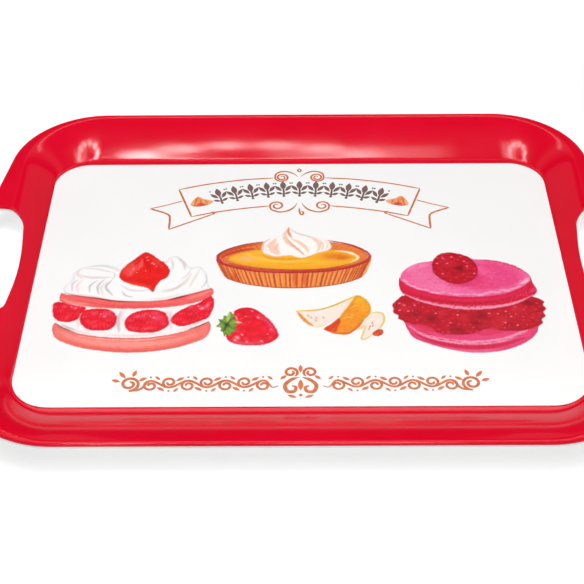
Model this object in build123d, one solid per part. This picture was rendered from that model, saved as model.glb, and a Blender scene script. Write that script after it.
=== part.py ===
from build123d import *
import os

# Promotional serving tray, pressed in two-tone melamine: a white body layer with a moulded foot
# ring, a red top layer bonded over it, and a white decor foil with printed motifs set into the
# floor of the tray. The two handles are slots through the flat ears at the ends.
#
# Frame: +X along the tray, through both handles; +Y away from the user; +Z up.
# The origin is under the middle of the tray, on the surface it stands on. Millimetres.

# ---- driving sizes ----
TRAY_LENGTH = 410.0
TRAY_WIDTH = 280.0
TRAY_HEIGHT = 18.7
FOOT_HEIGHT = 3.0

WHITE_THICKNESS = 1.8
RED_THICKNESS = 1.4
LIP_ROUND = 1.0

FOIL_LENGTH = 295.8
FOIL_WIDTH = 206.5
FOIL_CORNER = 20.8
FOIL_THICKNESS = 0.3
FOIL_RECESS = 0.2
FOIL_GAP = 0.15
INK_THICKNESS = 0.05

# The wall starts at the edge of the flat floor and has eased out into the flat rim at its
# shoulder. Each is a rounded rectangle: half length, half width and corner radius.
FLOOR_EDGE = (149.0, 108.0, 25.0)
SHOULDER = (166.0, 138.0, 50.0)
WALL_EASING = 1.3
WALL_STATIONS = 8

# The rim's outline is a polygon with rounded corners: the tray's corner, the root of the handle
# ear and the tip of the ear. Each is x, y and radius in the quarter where both are positive.
CORNER = (166.1, TRAY_WIDTH / 2, 54.0)
EAR_ROOT = (178.3, 56.0, 10.0)
EAR_TIP = (TRAY_LENGTH / 2, 54.0, 18.0)

# The handle slot is a rounded polygon too, with its inner edge bowed towards the floor.
SLOT_BOW = (155.6, 0.0, 230.0)
SLOT_INNER = (159.8, 45.4, 14.0)
SLOT_OUTER = (184.5, 45.4, 10.5)

RING_LENGTH = 286.0
RING_WIDTH = 202.0
RING_CORNER = 26.0
RING_RIB = 3.5
RING_ROUND = 1.0

# ---- heights that follow ----
WHITE_FLOOR = FOOT_HEIGHT + WHITE_THICKNESS
RED_FLOOR = WHITE_FLOOR + RED_THICKNESS
WALL_RISE = TRAY_HEIGHT - RED_FLOOR
CAP_HEIGHT = 2 * TRAY_HEIGHT
FOIL_BOTTOM = RED_FLOOR - FOIL_RECESS
FOIL_TOP = FOIL_BOTTOM + FOIL_THICKNESS

# An edge touches the plan's wires within this distance, and is level if its direction's upward
# part is under this.
TOUCHING = 0.01
STEEPEST_EDGE = 0.9


# ---- tray shells ----
def rounded_polygon(corners):
    """Face inside a closed polygon whose corners are given as x, y and radius."""
    points = [(x, y) for x, y, radius in corners]
    return make_face(FilletPolyline(*points, radius=[corner[2] for corner in corners], close=True))


def tray_plan():
    """Plan of the tray: the rim's outline with both handle slots cut out of it."""
    right = [CORNER, EAR_ROOT, EAR_TIP]
    right += [(x, -y, radius) for x, y, radius in reversed(right)]
    left = [(-x, y, radius) for x, y, radius in reversed(right)]
    ends = [SLOT_INNER, SLOT_OUTER]
    slot = rounded_polygon([SLOT_BOW] + ends + [(x, -y, radius) for x, y, radius in reversed(ends)])
    return rounded_polygon(right + left) - [slot, mirror(slot, about=Plane.YZ)]


def wall_section(station):
    """Section of the dish at one station, from 0 at the floor's edge to 1 at the shoulder."""
    pairs = zip(FLOOR_EDGE, SHOULDER)
    half_x, half_y, corner = (low + (high - low) * station for low, high in pairs)
    rise = WALL_RISE * (1 - (1 - station) ** WALL_EASING)
    return Pos(0, 0, rise) * RectangleRounded(2 * half_x, 2 * half_y, corner)


PLAN = tray_plan()
DISH = loft([wall_section(station / WALL_STATIONS) for station in range(WALL_STATIONS + 1)])


def under_dish(floor_height):
    """Everything inside the plan and below a dish that stands at the given height."""
    return extrude(PLAN, amount=floor_height + WALL_RISE) - Pos(0, 0, floor_height) * DISH


def over_dish(floor_height):
    """Everything inside the plan, above the same surface and below a high flat cap."""
    return extrude(PLAN, amount=CAP_HEIGHT) - under_dish(floor_height)


def round_edges_along(wire, solid, cap_height):
    """Round the edges that follow one wire of the plan, but not those of the flat cap."""

    def follows_wire(edge):
        middle = edge @ 0.5
        on_wire = wire.distance_to(Vertex(middle.X, middle.Y, 0)) < TOUCHING
        level = abs((edge % 0.5).Z) < STEEPEST_EDGE
        return on_wire and level and abs(middle.Z - cap_height) > TOUCHING

    return fillet(solid.edges().filter_by(follows_wire), LIP_ROUND)


def top_shell():
    """Red top layer, with a shallow recess for the foil."""
    body = under_dish(RED_FLOOR)
    for wire in PLAN.wires():
        body = round_edges_along(wire, body, 0)
    recess = RectangleRounded(FOIL_LENGTH + 2 * FOIL_GAP, FOIL_WIDTH + 2 * FOIL_GAP, FOIL_CORNER)
    return body - under_dish(WHITE_FLOOR) - Pos(0, 0, FOIL_BOTTOM) * extrude(recess, amount=RED_THICKNESS)


def base_shell():
    """White body layer with its foot ring."""
    rim = PLAN.wires().sort_by(SortBy.LENGTH)[-1]
    body = round_edges_along(rim, over_dish(FOOT_HEIGHT), CAP_HEIGHT)
    return (body & under_dish(WHITE_FLOOR)) + foot_ring()


def foot_ring():
    outside = RectangleRounded(RING_LENGTH, RING_WIDTH, RING_CORNER)
    inside = RectangleRounded(RING_LENGTH - 2 * RING_RIB, RING_WIDTH - 2 * RING_RIB, RING_CORNER - RING_RIB)
    ring = extrude(outside - inside, amount=FOOT_HEIGHT + WHITE_THICKNESS / 2)
    return fillet(ring.edges().group_by(Axis.Z)[0], RING_ROUND)


def decor_foil():
    foil = RectangleRounded(FOIL_LENGTH, FOIL_WIDTH, FOIL_CORNER)
    return Pos(0, 0, FOIL_BOTTOM) * extrude(foil, amount=FOIL_THICKNESS)


# ---- printed motifs: films of ink on the foil, as plain outlines ----
def ink(shape):
    return Pos(0, 0, FOIL_TOP) * extrude(shape, amount=INK_THICKNESS)


def blob(*points):
    """Face inside a smooth closed curve through the points."""
    return make_face(Spline(*points, periodic=True))


def ribbon_banner():
    """Arched ribbon with a swallow tail at each end and a scroll crest above and below."""
    ribbon = make_face(
        ThreePointArc((-72.5, 78), (0, 90), (72.5, 78))
        + Line((72.5, 78), (64, 52))
        + ThreePointArc((64, 52), (0, 62.5), (-64, 52))
        + Line((-64, 52), (-72.5, 78))
    )
    tail = make_face(Polyline((69, 67), (88, 60), (76.5, 53), (76.3, 38.5), (51, 54), close=True))
    crests = [Pos(0, 93) * Ellipse(16, 6), Pos(0, 58) * Ellipse(17, 5.5)]
    return ink(Sketch() + [ribbon, tail, mirror(tail, about=Plane.YZ)] + crests)


def strawberry_cake():
    """Two biscuits with fruit between them, cream on top and a strawberry on the cream."""
    body = blob((-132, -44), (-90, -64), (-48, -44), (-47, -22), (-50, -4), (-90, 2), (-130, -4), (-133, -28))
    cream = blob((-128, -12), (-122, 5), (-108, 9), (-90, 0), (-72, 12), (-58, 8), (-52, -10), (-90, -22))
    strawberry = blob((-87.5, 18.5), (-73.5, 4), (-81, -12), (-95, -8), (-101, 0))
    return ink(Sketch() + [body, cream, strawberry])


def cream_tart():
    """Fluted tart case, filled, with a peak of meringue."""
    case = blob((-47.5, 14), (-40, -5), (-4, -13), (32, -5), (40, 14), (-4, 29))
    meringue = blob((-6, 41), (4, 33), (18, 26), (12, 16), (-12, 16), (-21, 25), (-10, 33))
    return ink(Sketch() + [case, meringue])


def raspberry_macaron():
    """Two macaron shells with raspberries between them and one on top."""
    right_side = [(92, 11), (122, 4), (129, -10), (131, -30), (124, -54)]
    left_side = [(96, -65), (64, -56), (51, -30), (55, -8), (62, 4)]
    shells = blob(*right_side, *left_side)
    raspberry = Pos(87, 4.5) * Ellipse(13, 13.5)
    return ink(Sketch() + [shells, raspberry])


def single_strawberry():
    fruit = blob((-31, -28.5), (-18, -40), (-12.5, -52), (-24, -58.5), (-38, -54), (-36, -40))
    leaves = Pos(-39, -42.5) * Ellipse(5.5, 9.5)
    return ink(Sketch() + [fruit, leaves])


def fruit_slices():
    wedge = blob((-2, -32), (10, -30), (31, -20), (38, -30), (34, -44), (24, -50), (12, -47), (5, -43))
    slice_end = blob((42, -33), (45.5, -38), (40, -52), (33, -54.5), (31, -49))
    return ink(Sketch() + [wedge, slice_end])


def scroll_flourish():
    """Row of leafy scrolls below the pastries, around a lozenge in the middle."""
    lozenge = make_face(Polyline((0, -74), (8, -85), (0, -96), (-8, -85), close=True))
    scroll = blob((12, -83), (30, -77), (58, -84), (94, -80), (90, -90), (60, -92), (30, -90), (14, -91))
    return ink(Sketch() + [lozenge, scroll, mirror(scroll, about=Plane.YZ)])


NODES = {
    "base_shell": base_shell,
    "top_shell": top_shell,
    "decor_foil": decor_foil,
    "print_banner": ribbon_banner,
    "print_strawberry_cake": strawberry_cake,
    "print_cream_tart": cream_tart,
    "print_raspberry_macaron": raspberry_macaron,
    "print_strawberry": single_strawberry,
    "print_fruit_slices": fruit_slices,
    "print_flourish": scroll_flourish,
}

os.makedirs("parts", exist_ok=True)
for node, build in NODES.items():
    export_step(build(), f"parts/{node}.step")
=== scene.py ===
import math

import bpy
import numpy as np
from mathutils import Matrix, Vector
from mathutils.geometry import delaunay_2d_cdt
from mathutils.kdtree import KDTree


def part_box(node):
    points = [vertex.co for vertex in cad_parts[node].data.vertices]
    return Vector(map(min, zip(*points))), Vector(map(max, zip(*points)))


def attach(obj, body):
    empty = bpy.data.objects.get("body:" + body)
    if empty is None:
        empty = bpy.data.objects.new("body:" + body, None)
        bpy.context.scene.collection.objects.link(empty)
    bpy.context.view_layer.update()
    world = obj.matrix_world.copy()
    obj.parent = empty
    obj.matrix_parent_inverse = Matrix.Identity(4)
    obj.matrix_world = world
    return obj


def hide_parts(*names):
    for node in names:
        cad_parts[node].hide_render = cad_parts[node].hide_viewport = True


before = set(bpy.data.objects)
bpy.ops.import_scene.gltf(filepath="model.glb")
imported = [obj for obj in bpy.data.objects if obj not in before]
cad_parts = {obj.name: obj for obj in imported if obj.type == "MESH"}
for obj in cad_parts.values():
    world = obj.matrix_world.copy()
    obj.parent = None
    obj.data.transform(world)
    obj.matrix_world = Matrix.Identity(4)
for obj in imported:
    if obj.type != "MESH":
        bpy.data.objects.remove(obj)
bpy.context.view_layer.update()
scene = bpy.context.scene
scene.view_settings.view_transform = "Standard"

# All shapes are worked out in millimetres and turned into metres when a mesh is made.
MM = 0.001


def box_mm(node):
    return [np.array(corner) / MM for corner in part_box(node)]


foil_low, foil_high = box_mm("decor_foil")
red_low, red_high = box_mm("top_shell")
white_high = box_mm("base_shell")[1]

# ---- sizes of the tray ----
FOIL_HALF = foil_high[:2]
FOIL_CORNER = 20.8
FOIL_BOTTOM = foil_low[2]
FOIL_TOP = foil_high[2]
FOIL_PROUD = 0.1
FOIL_ROUND = 0.12
RED_FLOOR = FOIL_TOP - FOIL_PROUD
RED_THICKNESS = red_high[2] - white_high[2]
WALL_RISE = red_high[2] - RED_FLOOR
WHITE_THICKNESS = 1.8
FOOT_HEIGHT = red_low[2] - WHITE_THICKNESS
LIP_ROUND = 1.0

# The dish is a stack of rounded rectangles, from the edge of the flat floor (station 0) to the
# shoulder where the wall has eased out into the flat rim (station 1): half sizes and corner.
FLOOR_EDGE = np.array((149.0, 108.0, 25.0))
SHOULDER = np.array((166.0, 138.0, 50.0))
WALL_EASING = 1.3
CREASE = 0.02

# Corners of the rim's outline and of the handle slot: x, y and radius in the quarter where both
# are positive. The slot's first corner is the bow of its inner edge.
TRAY_HALF = red_high[:2]
CORNER = (166.1, TRAY_HALF[1], 54.0)
EAR_ROOT = (178.3, 56.0, 10.0)
EAR_TIP = (TRAY_HALF[0], 54.0, 18.0)
SLOT_BOW = (155.6, 0.0, 230.0)
SLOT_INNER = (159.8, 45.4, 14.0)
SLOT_OUTER = (184.5, 45.4, 10.5)

# The recess round the foil, and the foot ring under the tray: half the width of its rib, and the
# rounded rectangle along the middle of the rib.
RECESS_GAP = 0.15
RECESS_WALL = 0.05
RECESS_ROUND = 0.5
RECESS_LIP = 0.12
# How far, in millimetres, the painted shade along the foil's recess fades out.
GROOVE_SHADE_FADE = 0.7
RING_RIB = 1.75
RING_HALF = tuple(size - RING_RIB for size in (143.0, 101.0, 26.0))
RING_ROUND = 1.0
RING_WALL_SLOPE = 40.0

# ---- camera ----
# It looks down at the tray from in front. Its lens and sensor are in millimetres.
PITCH, YAW, ROLL = (math.radians(angle) for angle in (-41.21, 0.331, -0.462))
CAMERA_PLACE = Vector((-0.0012, -0.5773, 0.4914 + FOIL_TOP * MM))
LENS = 83.65
SENSOR = 36.0


def make_camera():
    data = bpy.data.cameras.new("camera")
    data.sensor_width = SENSOR
    data.lens = LENS
    camera = bpy.data.objects.new("camera", data)
    upright = Matrix.Rotation(math.pi / 2, 4, "X")
    turn = Matrix.Rotation(YAW, 4, "Z") @ Matrix.Rotation(PITCH, 4, "X") @ upright
    camera.matrix_world = Matrix.Translation(CAMERA_PLACE) @ turn @ Matrix.Rotation(ROLL, 4, "Z")
    scene.collection.objects.link(camera)
    scene.camera = camera


make_camera()


# ---- materials ----
class Nodes:
    """A material's node tree around one Principled shader, with short names for common nodes."""

    def __init__(self, name):
        self.material = bpy.data.materials.new(name)
        self.material.use_nodes = True
        self.tree = self.material.node_tree
        self.shader = self.tree.nodes["Principled BSDF"]
        self.place = self.node("ShaderNodeTexCoord").outputs["Object"]

    def node(self, kind, **settings):
        made = self.tree.nodes.new(kind)
        for key, value in settings.items():
            setattr(made, key, value)
        return made

    def put(self, value, socket):
        """Link an output to a socket, or set the socket to a plain value."""
        if isinstance(value, bpy.types.NodeSocket):
            self.tree.links.new(value, socket)
        else:
            socket.default_value = value

    def noise(self, size_mm, detail=3.0, roughness=0.55, distortion=0.0):
        """Noise from 0 to 1 whose features are about size_mm across."""
        made = self.node("ShaderNodeTexNoise")
        self.put(self.place, made.inputs["Vector"])
        made.inputs["Scale"].default_value = 1 / (size_mm * MM)
        made.inputs["Detail"].default_value = detail
        made.inputs["Roughness"].default_value = roughness
        made.inputs["Distortion"].default_value = distortion
        return made.outputs["Fac"]

    def attribute(self, name, output="Fac"):
        return self.node("ShaderNodeAttribute", attribute_name=name).outputs[output]

    def span(self, value, low, high, start=0.3, end=0.7):
        """Map start..end of a value to low..high, and hold it there outside."""
        made = self.node("ShaderNodeMapRange")
        self.put(value, made.inputs["Value"])
        for socket, number in zip(("From Min", "From Max", "To Min", "To Max"), (start, end, low, high)):
            made.inputs[socket].default_value = number
        return made.outputs["Result"]

    def mix(self, share, first, second, blend="MIX"):
        made = self.node("ShaderNodeMix", data_type="RGBA", blend_type=blend)
        self.put(share, made.inputs[0])
        for value, socket in ((first, made.inputs[6]), (second, made.inputs[7])):
            self.put((*value, 1.0) if isinstance(value, tuple) else value, socket)
        return made.outputs[2]

    def times(self, first, second):
        made = self.node("ShaderNodeMath", operation="MULTIPLY")
        self.put(first, made.inputs[0])
        self.put(second, made.inputs[1])
        return made.outputs[0]

    def bump(self, height, depth_mm, strength=1.0, under=None):
        made = self.node("ShaderNodeBump")
        self.put(height, made.inputs["Height"])
        made.inputs["Distance"].default_value = depth_mm * MM
        made.inputs["Strength"].default_value = strength
        if under is not None:
            self.put(under, made.inputs["Normal"])
        return made.outputs["Normal"]

    def finish(self, colour, roughness, normal):
        self.put(colour, self.shader.inputs["Base Color"])
        self.put(roughness, self.shader.inputs["Roughness"])
        self.put(normal, self.shader.inputs["Normal"])
        return self.material


def red_melamine():
    """Deep glossy red, with painted shade: a little darker where it turns down into the recess round the
    foil.
    """
    nodes = Nodes("red_melamine_gloss")
    cloud = nodes.span(nodes.noise(38, detail=2), 0, 1)
    colour = nodes.mix(cloud, (0.70, 0.0010, 0.018), (0.74, 0.0015, 0.023))
    speck = nodes.span(nodes.noise(1.1, detail=2), 0, 0.10, 0.62, 0.78)
    colour = nodes.mix(speck, colour, (0.62, 0.0010, 0.015))
    # Painted shade: a darker red laid along the edge of the recess round the foil, where shade falls.
    colour = nodes.mix(nodes.times(nodes.attribute("painted_groove_shade"), 0.7), colour, (0.40, 0.0015, 0.014))
    smear = nodes.noise(22, detail=4, distortion=0.6)
    rough = nodes.span(smear, 0.085, 0.13)
    peel = nodes.bump(nodes.noise(2.6, detail=2), 0.012, 0.25)
    fine = nodes.bump(nodes.noise(0.35, detail=2), 0.002, 0.3, peel)
    return nodes.finish(colour, rough, fine)


def white_melamine():
    """White body layer: faint warm clouds, a satin bloom and a fine moulded surface."""
    nodes = Nodes("white_melamine_gloss")
    cloud = nodes.span(nodes.noise(30, detail=3), 0, 1)
    colour = nodes.mix(cloud, (0.86, 0.855, 0.845), (0.90, 0.895, 0.89))
    speck = nodes.span(nodes.noise(0.8, detail=1), 0, 0.25, 0.68, 0.8)
    colour = nodes.mix(speck, colour, (0.74, 0.73, 0.71))
    rough = nodes.span(nodes.noise(16, detail=4, distortion=0.5), 0.16, 0.26)
    peel = nodes.bump(nodes.noise(2.2, detail=2), 0.015, 0.3)
    return nodes.finish(colour, rough, peel)


def foil_glaze():
    """White decor foil under a clear glaze: paper-white with hardly any tone of its own."""
    nodes = Nodes("decor_foil_glaze")
    cloud = nodes.span(nodes.noise(55, detail=2), 0, 1)
    colour = nodes.mix(cloud, (0.895, 0.89, 0.885), (0.915, 0.912, 0.905))
    grain = nodes.span(nodes.noise(0.5, detail=2), 0, 0.12, 0.6, 0.8)
    colour = nodes.mix(grain, colour, (0.84, 0.835, 0.83))
    rough = nodes.span(nodes.noise(26, detail=4, distortion=0.5), 0.10, 0.16)
    peel = nodes.bump(nodes.noise(3.2, detail=2), 0.010, 0.2)
    return nodes.finish(colour, rough, peel)


def watercolour(name, blotch_mm, grain_mm, blotch, grain):
    """Ink laid like watercolour under the same glaze: the painted tint, blotched and grained."""
    nodes = Nodes(name)
    tint = nodes.attribute("tint", "Color")
    parts = nodes.node("ShaderNodeSeparateColor")
    nodes.put(tint, parts.inputs["Color"])
    ink = nodes.span(parts.outputs["Green"], 1.0, 0.1, 0.25, 0.8)
    pool = nodes.span(nodes.noise(blotch_mm, detail=3, distortion=1.2), 0, 1)
    deep = nodes.mix(1.0, tint, (1 - blotch, 1 - 2.4 * blotch, 1 - 2.2 * blotch), "MULTIPLY")
    colour = nodes.mix(nodes.times(pool, ink), tint, deep)
    pigment = nodes.span(nodes.noise(grain_mm, detail=4, roughness=0.7), 0, 1, 0.4, 0.65)
    settled = nodes.mix(1.0, colour, (1 - grain, 1 - 2 * grain, 1 - 2 * grain), "MULTIPLY")
    colour = nodes.mix(nodes.times(pigment, ink), colour, settled)
    rough = nodes.span(nodes.noise(20, detail=4, distortion=0.5), 0.10, 0.17)
    peel = nodes.bump(nodes.noise(3.2, detail=2), 0.010, 0.2)
    film = nodes.bump(pigment, 0.004, 0.2, peel)
    return nodes.finish(colour, rough, film)


# The floor glows by SHADED_NEAR_GLOW out to GLOW_NEAR metres from the tray's middle, and by FAR_GLOW beyond
# GLOW_FAR metres: painted shade, dimmer near the tray, and painted light, brighter far off.
SHADED_NEAR_GLOW = 0.53
FAR_GLOW = 1.0
GLOW_NEAR = 0.28
GLOW_FAR = 0.80


def floor_paper():
    """White paper with a painted glow of its own, painted dimmer near the tray as shade, where it also
    takes a pale shadow.
    """
    nodes = Nodes("floor_paper")
    tone = nodes.mix(nodes.noise(40, detail=2), (0.49, 0.49, 0.49), (0.51, 0.51, 0.51))
    reach = nodes.node("ShaderNodeVectorMath", operation="LENGTH")
    nodes.put(nodes.node("ShaderNodeTexCoord").outputs["Object"], reach.inputs[0])
    # Painted light and shade: the paper's glow is dimmer near the tray and brighter far from it.
    glow = nodes.span(reach.outputs["Value"], SHADED_NEAR_GLOW, FAR_GLOW, GLOW_NEAR, GLOW_FAR)
    nodes.put((1.0, 1.0, 1.0, 1.0), nodes.shader.inputs["Emission Color"])
    nodes.put(glow, nodes.shader.inputs["Emission Strength"])
    nodes.shader.inputs["Specular IOR Level"].default_value = 0.0
    return nodes.finish(tone, 0.9, nodes.bump(nodes.noise(1.0), 0.02, 0.1))


# ---- studio ----
FLOOR_SIZE = 8.0

# Brightness of the room by height, from straight down (0) over the horizon (0.5) to straight up (1).
SKY_STOPS = ((0.0, 0.9), (0.51, 0.9), (0.53, 0.02), (0.79, 0.02), (0.86, 0.35), (0.90, 0.05), (1.0, 0.05))

# The ring lamp hangs over the tray, brighter on its left side; its image shows in the back wall.
RING_LAMP_CENTRE = Vector((-0.055, -0.005, 0.75))
RING_LAMP_RADIUS = 0.165
RING_LAMP_DISK = 0.045
RING_LAMP_COUNT = 18
RING_LAMP_POWER = 0.06
RING_LAMP_BOOST = 3

# The other lamps: name, place, target, size, power, and whether the gloss mirrors them.
LAMPS = (
    ("softbox_top", (0.075, -0.15, 0.85), (0.075, -0.15, 0), (0.21, 0.6), 0.92, True),
    ("fill_top", (0.08, -0.28, 1.45), (0.08, -0.05, 0), (1.8, 1.4), 18.3, False),
    ("strip_back", (0.0, 0.74, 0.885), (0, -0.106, 0), (0.8, 0.066), 0.38, True),
    ("panel_left", (0.49, 0.96, 0.41), (-0.155, 0.03, 0), (0.5, 0.36), 0.10, True),
    ("panel_right", (-0.49, 0.96, 0.41), (0.155, 0.03, 0), (0.5, 0.36), 0.10, True),
)


def area_light(name, place, target, size, power, shine=True, shape="RECTANGLE"):
    """Area lamp aimed at a target. Without shine it lights the tray but isn't mirrored in it."""
    data = bpy.data.lights.new(name, "AREA")
    data.shape = shape
    data.size, data.size_y = size
    data.energy = power
    lamp = bpy.data.objects.new(name, data)
    lamp.location = place
    lamp.rotation_euler = (Vector(target) - Vector(place)).to_track_quat("-Z", "Y").to_euler()
    lamp.visible_glossy = shine
    scene.collection.objects.link(lamp)


def make_sky():
    """Room around the tray: bright at the horizon, dark above it, with one dim band half-way up."""
    world = bpy.data.worlds.new("studio")
    scene.world = world
    world.use_nodes = True
    tree = world.node_tree
    ramp = tree.nodes.new("ShaderNodeValToRGB")
    elements = ramp.color_ramp.elements
    for place, _ in SKY_STOPS[1:-1]:
        elements.new(place)
    for element, (_, level) in zip(sorted(elements, key=lambda element: element.position), SKY_STOPS):
        element.color = (level, level, level, 1.0)
    coord = tree.nodes.new("ShaderNodeTexCoord")
    split = tree.nodes.new("ShaderNodeSeparateXYZ")
    upward = tree.nodes.new("ShaderNodeMapRange")
    upward.inputs["From Min"].default_value = -1.0
    tree.links.new(coord.outputs["Generated"], split.inputs[0])
    tree.links.new(split.outputs["Z"], upward.inputs["Value"])
    tree.links.new(upward.outputs["Result"], ramp.inputs["Fac"])
    tree.links.new(ramp.outputs["Color"], tree.nodes["Background"].inputs["Color"])


def make_floor():
    half = FLOOR_SIZE / 2
    mesh = bpy.data.meshes.new("floor")
    corners = [(-half, -half, 0), (half, -half, 0), (half, half, 0), (-half, half, 0)]
    mesh.from_pydata(corners, [], [(0, 1, 2, 3)])
    floor = bpy.data.objects.new("floor", mesh)
    mesh.materials.append(floor_paper())
    scene.collection.objects.link(floor)


def make_ring_lamp():
    for index in range(RING_LAMP_COUNT):
        angle = 2 * math.pi * index / RING_LAMP_COUNT
        arm = Vector((math.cos(angle), math.sin(angle), 0))
        place = RING_LAMP_CENTRE + arm * RING_LAMP_RADIUS
        power = RING_LAMP_POWER * (1 + RING_LAMP_BOOST * max(0.0, -arm.x) ** 3)
        disk = (RING_LAMP_DISK, RING_LAMP_DISK)
        area_light(f"ring_lamp_{index:02d}", place, (0, 0, 0), disk, power, shape="DISK")


make_sky()
make_floor()
make_ring_lamp()
for lamp in LAMPS:
    area_light(*lamp)


# ---- spacing of the mesh ----
# A ring has as many points along its long side, its short side and a corner as these lengths need.
RING_RUNS = (250, 160, 45)
ARC_STEP = math.radians(6)

# A point's station is found by halving, from a little inside the floor's edge.
FLOOR_STATION = -0.25
HALVINGS = 40
NORMAL_STEP = 0.02

# Rows of a triangular lattice are this share of its pitch apart.
ROW_SHARE = math.sqrt(3) / 2
EPSILON = 1e-6

# Rows of points inside the outline, which round the lip, and the gap from them to other points.
EDGE_STEPS = (0, 0.03, 0.12, 0.3, 0.6, 1.0, 1.6)
EDGE_SPACING = 1.6
EDGE_CLEAR = 2.2

# Spacing of the points over the rest of the tray, and the rings that follow its creases.
RING_SPACING = 2.0
RIM_PITCH = 4.0
RIM_MARGIN = 2
FLOOR_PITCH = 12.0
FLOOR_MARGIN = 8

CREASE_STATIONS = (-0.12, -0.06, -0.03, -0.01, 0.01, 0.03, 0.06)
WALL_STATIONS = np.linspace(0.1, 1.06, 25)
BED_OFFSETS = (-3, 0.1, 0.15, 0.2, 0.3, 0.45, 0.65, 0.9)
RING_OFFSETS = (-1.85, -1.75, -1.55, -1.25, -0.75, 0.75, 1.25, 1.55, 1.75, 1.85)


# ---- plan curves ----
def rounded_ring(half_x, half_y, corner, spacing):
    """Points round a rounded rectangle. Rings from one family line up with each other."""
    long_side, short_side, arc = (max(2, round(length / spacing)) for length in RING_RUNS)
    quarter = []
    for step in range(short_side // 2):
        quarter.append((half_x, (half_y - corner) * step / (short_side // 2)))
    for step in range(arc):
        angle = math.pi / 2 * step / arc
        arc_x = half_x - corner + corner * math.cos(angle)
        quarter.append((arc_x, half_y - corner + corner * math.sin(angle)))
    for step in range(long_side // 2 + 1):
        quarter.append(((half_x - corner) * (1 - step / (long_side // 2)), half_y))
    right = np.array(quarter)
    left = right[::-1][1:] * (-1, 1)
    top = np.vstack([right, left])
    return np.vstack([top, top[::-1][1:-1] * (1, -1)])


def turned(vector, angle):
    cos, sin = math.cos(angle), math.sin(angle)
    return np.array((vector[0] * cos - vector[1] * sin, vector[0] * sin + vector[1] * cos))


def rounded_polygon(corners, inset, spacing):
    """Points round a polygon with rounded corners, given as x, y, radius, moved inwards by inset.
    Also returns the outward directions. The corners go anticlockwise."""
    places = np.array([corner[:2] for corner in corners], float)
    arcs = []
    for index, (x, y, radius) in enumerate(corners):
        back = places[index - 1] - places[index]
        ahead = places[(index + 1) % len(corners)] - places[index]
        back /= np.linalg.norm(back)
        ahead /= np.linalg.norm(ahead)
        turn = math.pi - math.acos(np.clip(back @ ahead, -1, 1))
        bend = 1 if back[1] * ahead[0] > back[0] * ahead[1] else -1
        reach = radius * math.tan(turn / 2)
        start = places[index] + back * reach
        centre = start + bend * radius * np.array((back[1], -back[0]))
        arcs.append((start, places[index] + ahead * reach, centre, radius, bend * turn))
    points, outward = [], []
    for index, (start, end, centre, radius, turn) in enumerate(arcs):
        steps = max(3, math.ceil(abs(radius * turn) / spacing), math.ceil(abs(turn) / ARC_STEP))
        side = math.copysign(1, turn)
        for step in range(steps + 1):
            arm = turned(start - centre, turn * step / steps) / radius
            points.append(centre + arm * (radius - side * inset))
            outward.append(arm * side)
        following = arcs[(index + 1) % len(arcs)][0]
        runs = max(1, round(np.linalg.norm(following - end) / spacing))
        for step in range(1, runs):
            points.append(end + (following - end) * step / runs - outward[-1] * inset)
            outward.append(outward[-1])
    return np.array(points), np.array(outward)


def four_fold(quarter):
    """Repeat a quarter's corners, listed anticlockwise, in all four quarters."""
    upper = quarter + [(-x, y, radius) for x, y, radius in reversed(quarter)]
    return upper + [(-x, -y, radius) for x, y, radius in upper]


OUTLINE = four_fold([EAR_TIP, EAR_ROOT, CORNER])
SLOT_ENDS = [SLOT_OUTER, SLOT_INNER]
SLOT_RIGHT = [SLOT_BOW] + [(x, -y, radius) for x, y, radius in reversed(SLOT_ENDS)] + SLOT_ENDS
SLOT_LEFT = [(-x, -y, radius) for x, y, radius in SLOT_RIGHT]


def outside_rounded(x, y, half_x, half_y, corner):
    """Distance from a rounded rectangle, negative inside it."""
    past_x = np.abs(x) - half_x + corner
    past_y = np.abs(y) - half_y + corner
    around = np.hypot(np.maximum(past_x, 0), np.maximum(past_y, 0))
    return around + np.minimum(np.maximum(past_x, past_y), 0) - corner


def inside_loop(points, loop):
    """Which points lie inside a closed polyline."""
    crossings = np.zeros(len(points), int)
    for (x0, y0), (x1, y1) in zip(loop, np.roll(loop, -1, axis=0)):
        if y0 != y1:
            spans = (points[:, 1] > min(y0, y1)) & (points[:, 1] <= max(y0, y1))
            reach = x0 + (points[:, 1] - y0) * (x1 - x0) / (y1 - y0)
            crossings += spans & (points[:, 0] < reach)
    return crossings % 2 == 1


# ---- the tray's surfaces, as heights over the plan ----
def station_at(x, y):
    """Station of the rounded rectangle that passes through each point, found by halving."""
    low = np.full(np.shape(x), FLOOR_STATION)
    high = np.ones(np.shape(x))
    for _ in range(HALVINGS):
        middle = (low + high) / 2
        sizes = [start + (end - start) * middle for start, end in zip(FLOOR_EDGE, SHOULDER)]
        inside = outside_rounded(x, y, *sizes) < 0
        high = np.where(inside, middle, high)
        low = np.where(inside, low, middle)
    return (low + high) / 2


def dish(x, y):
    """Rise of the dish over its flat floor, with a small round in the crease round the floor."""
    station = station_at(x, y)
    eased = np.minimum((station + np.hypot(station, CREASE)) / 2, 1)
    return WALL_RISE * (1 - (1 - eased) ** WALL_EASING)


def red_top(x, y):
    """Red surface, which steps down to the foil's bed."""
    gap = outside_rounded(x, y, *FOIL_HALF, FOIL_CORNER) - RECESS_GAP
    rounded = RECESS_LIP * np.clip(1 - gap / RECESS_ROUND, 0, 1) ** 2
    wall = (RED_FLOOR - FOIL_BOTTOM - RECESS_LIP) * np.clip(-gap / RECESS_WALL, 0, 1)
    return RED_FLOOR + dish(x, y) - np.where(gap < 0, RECESS_LIP, rounded) - wall


def seam(x, y):
    """Surface where the red and the white layer meet."""
    return RED_FLOOR - RED_THICKNESS + dish(x, y)


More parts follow.
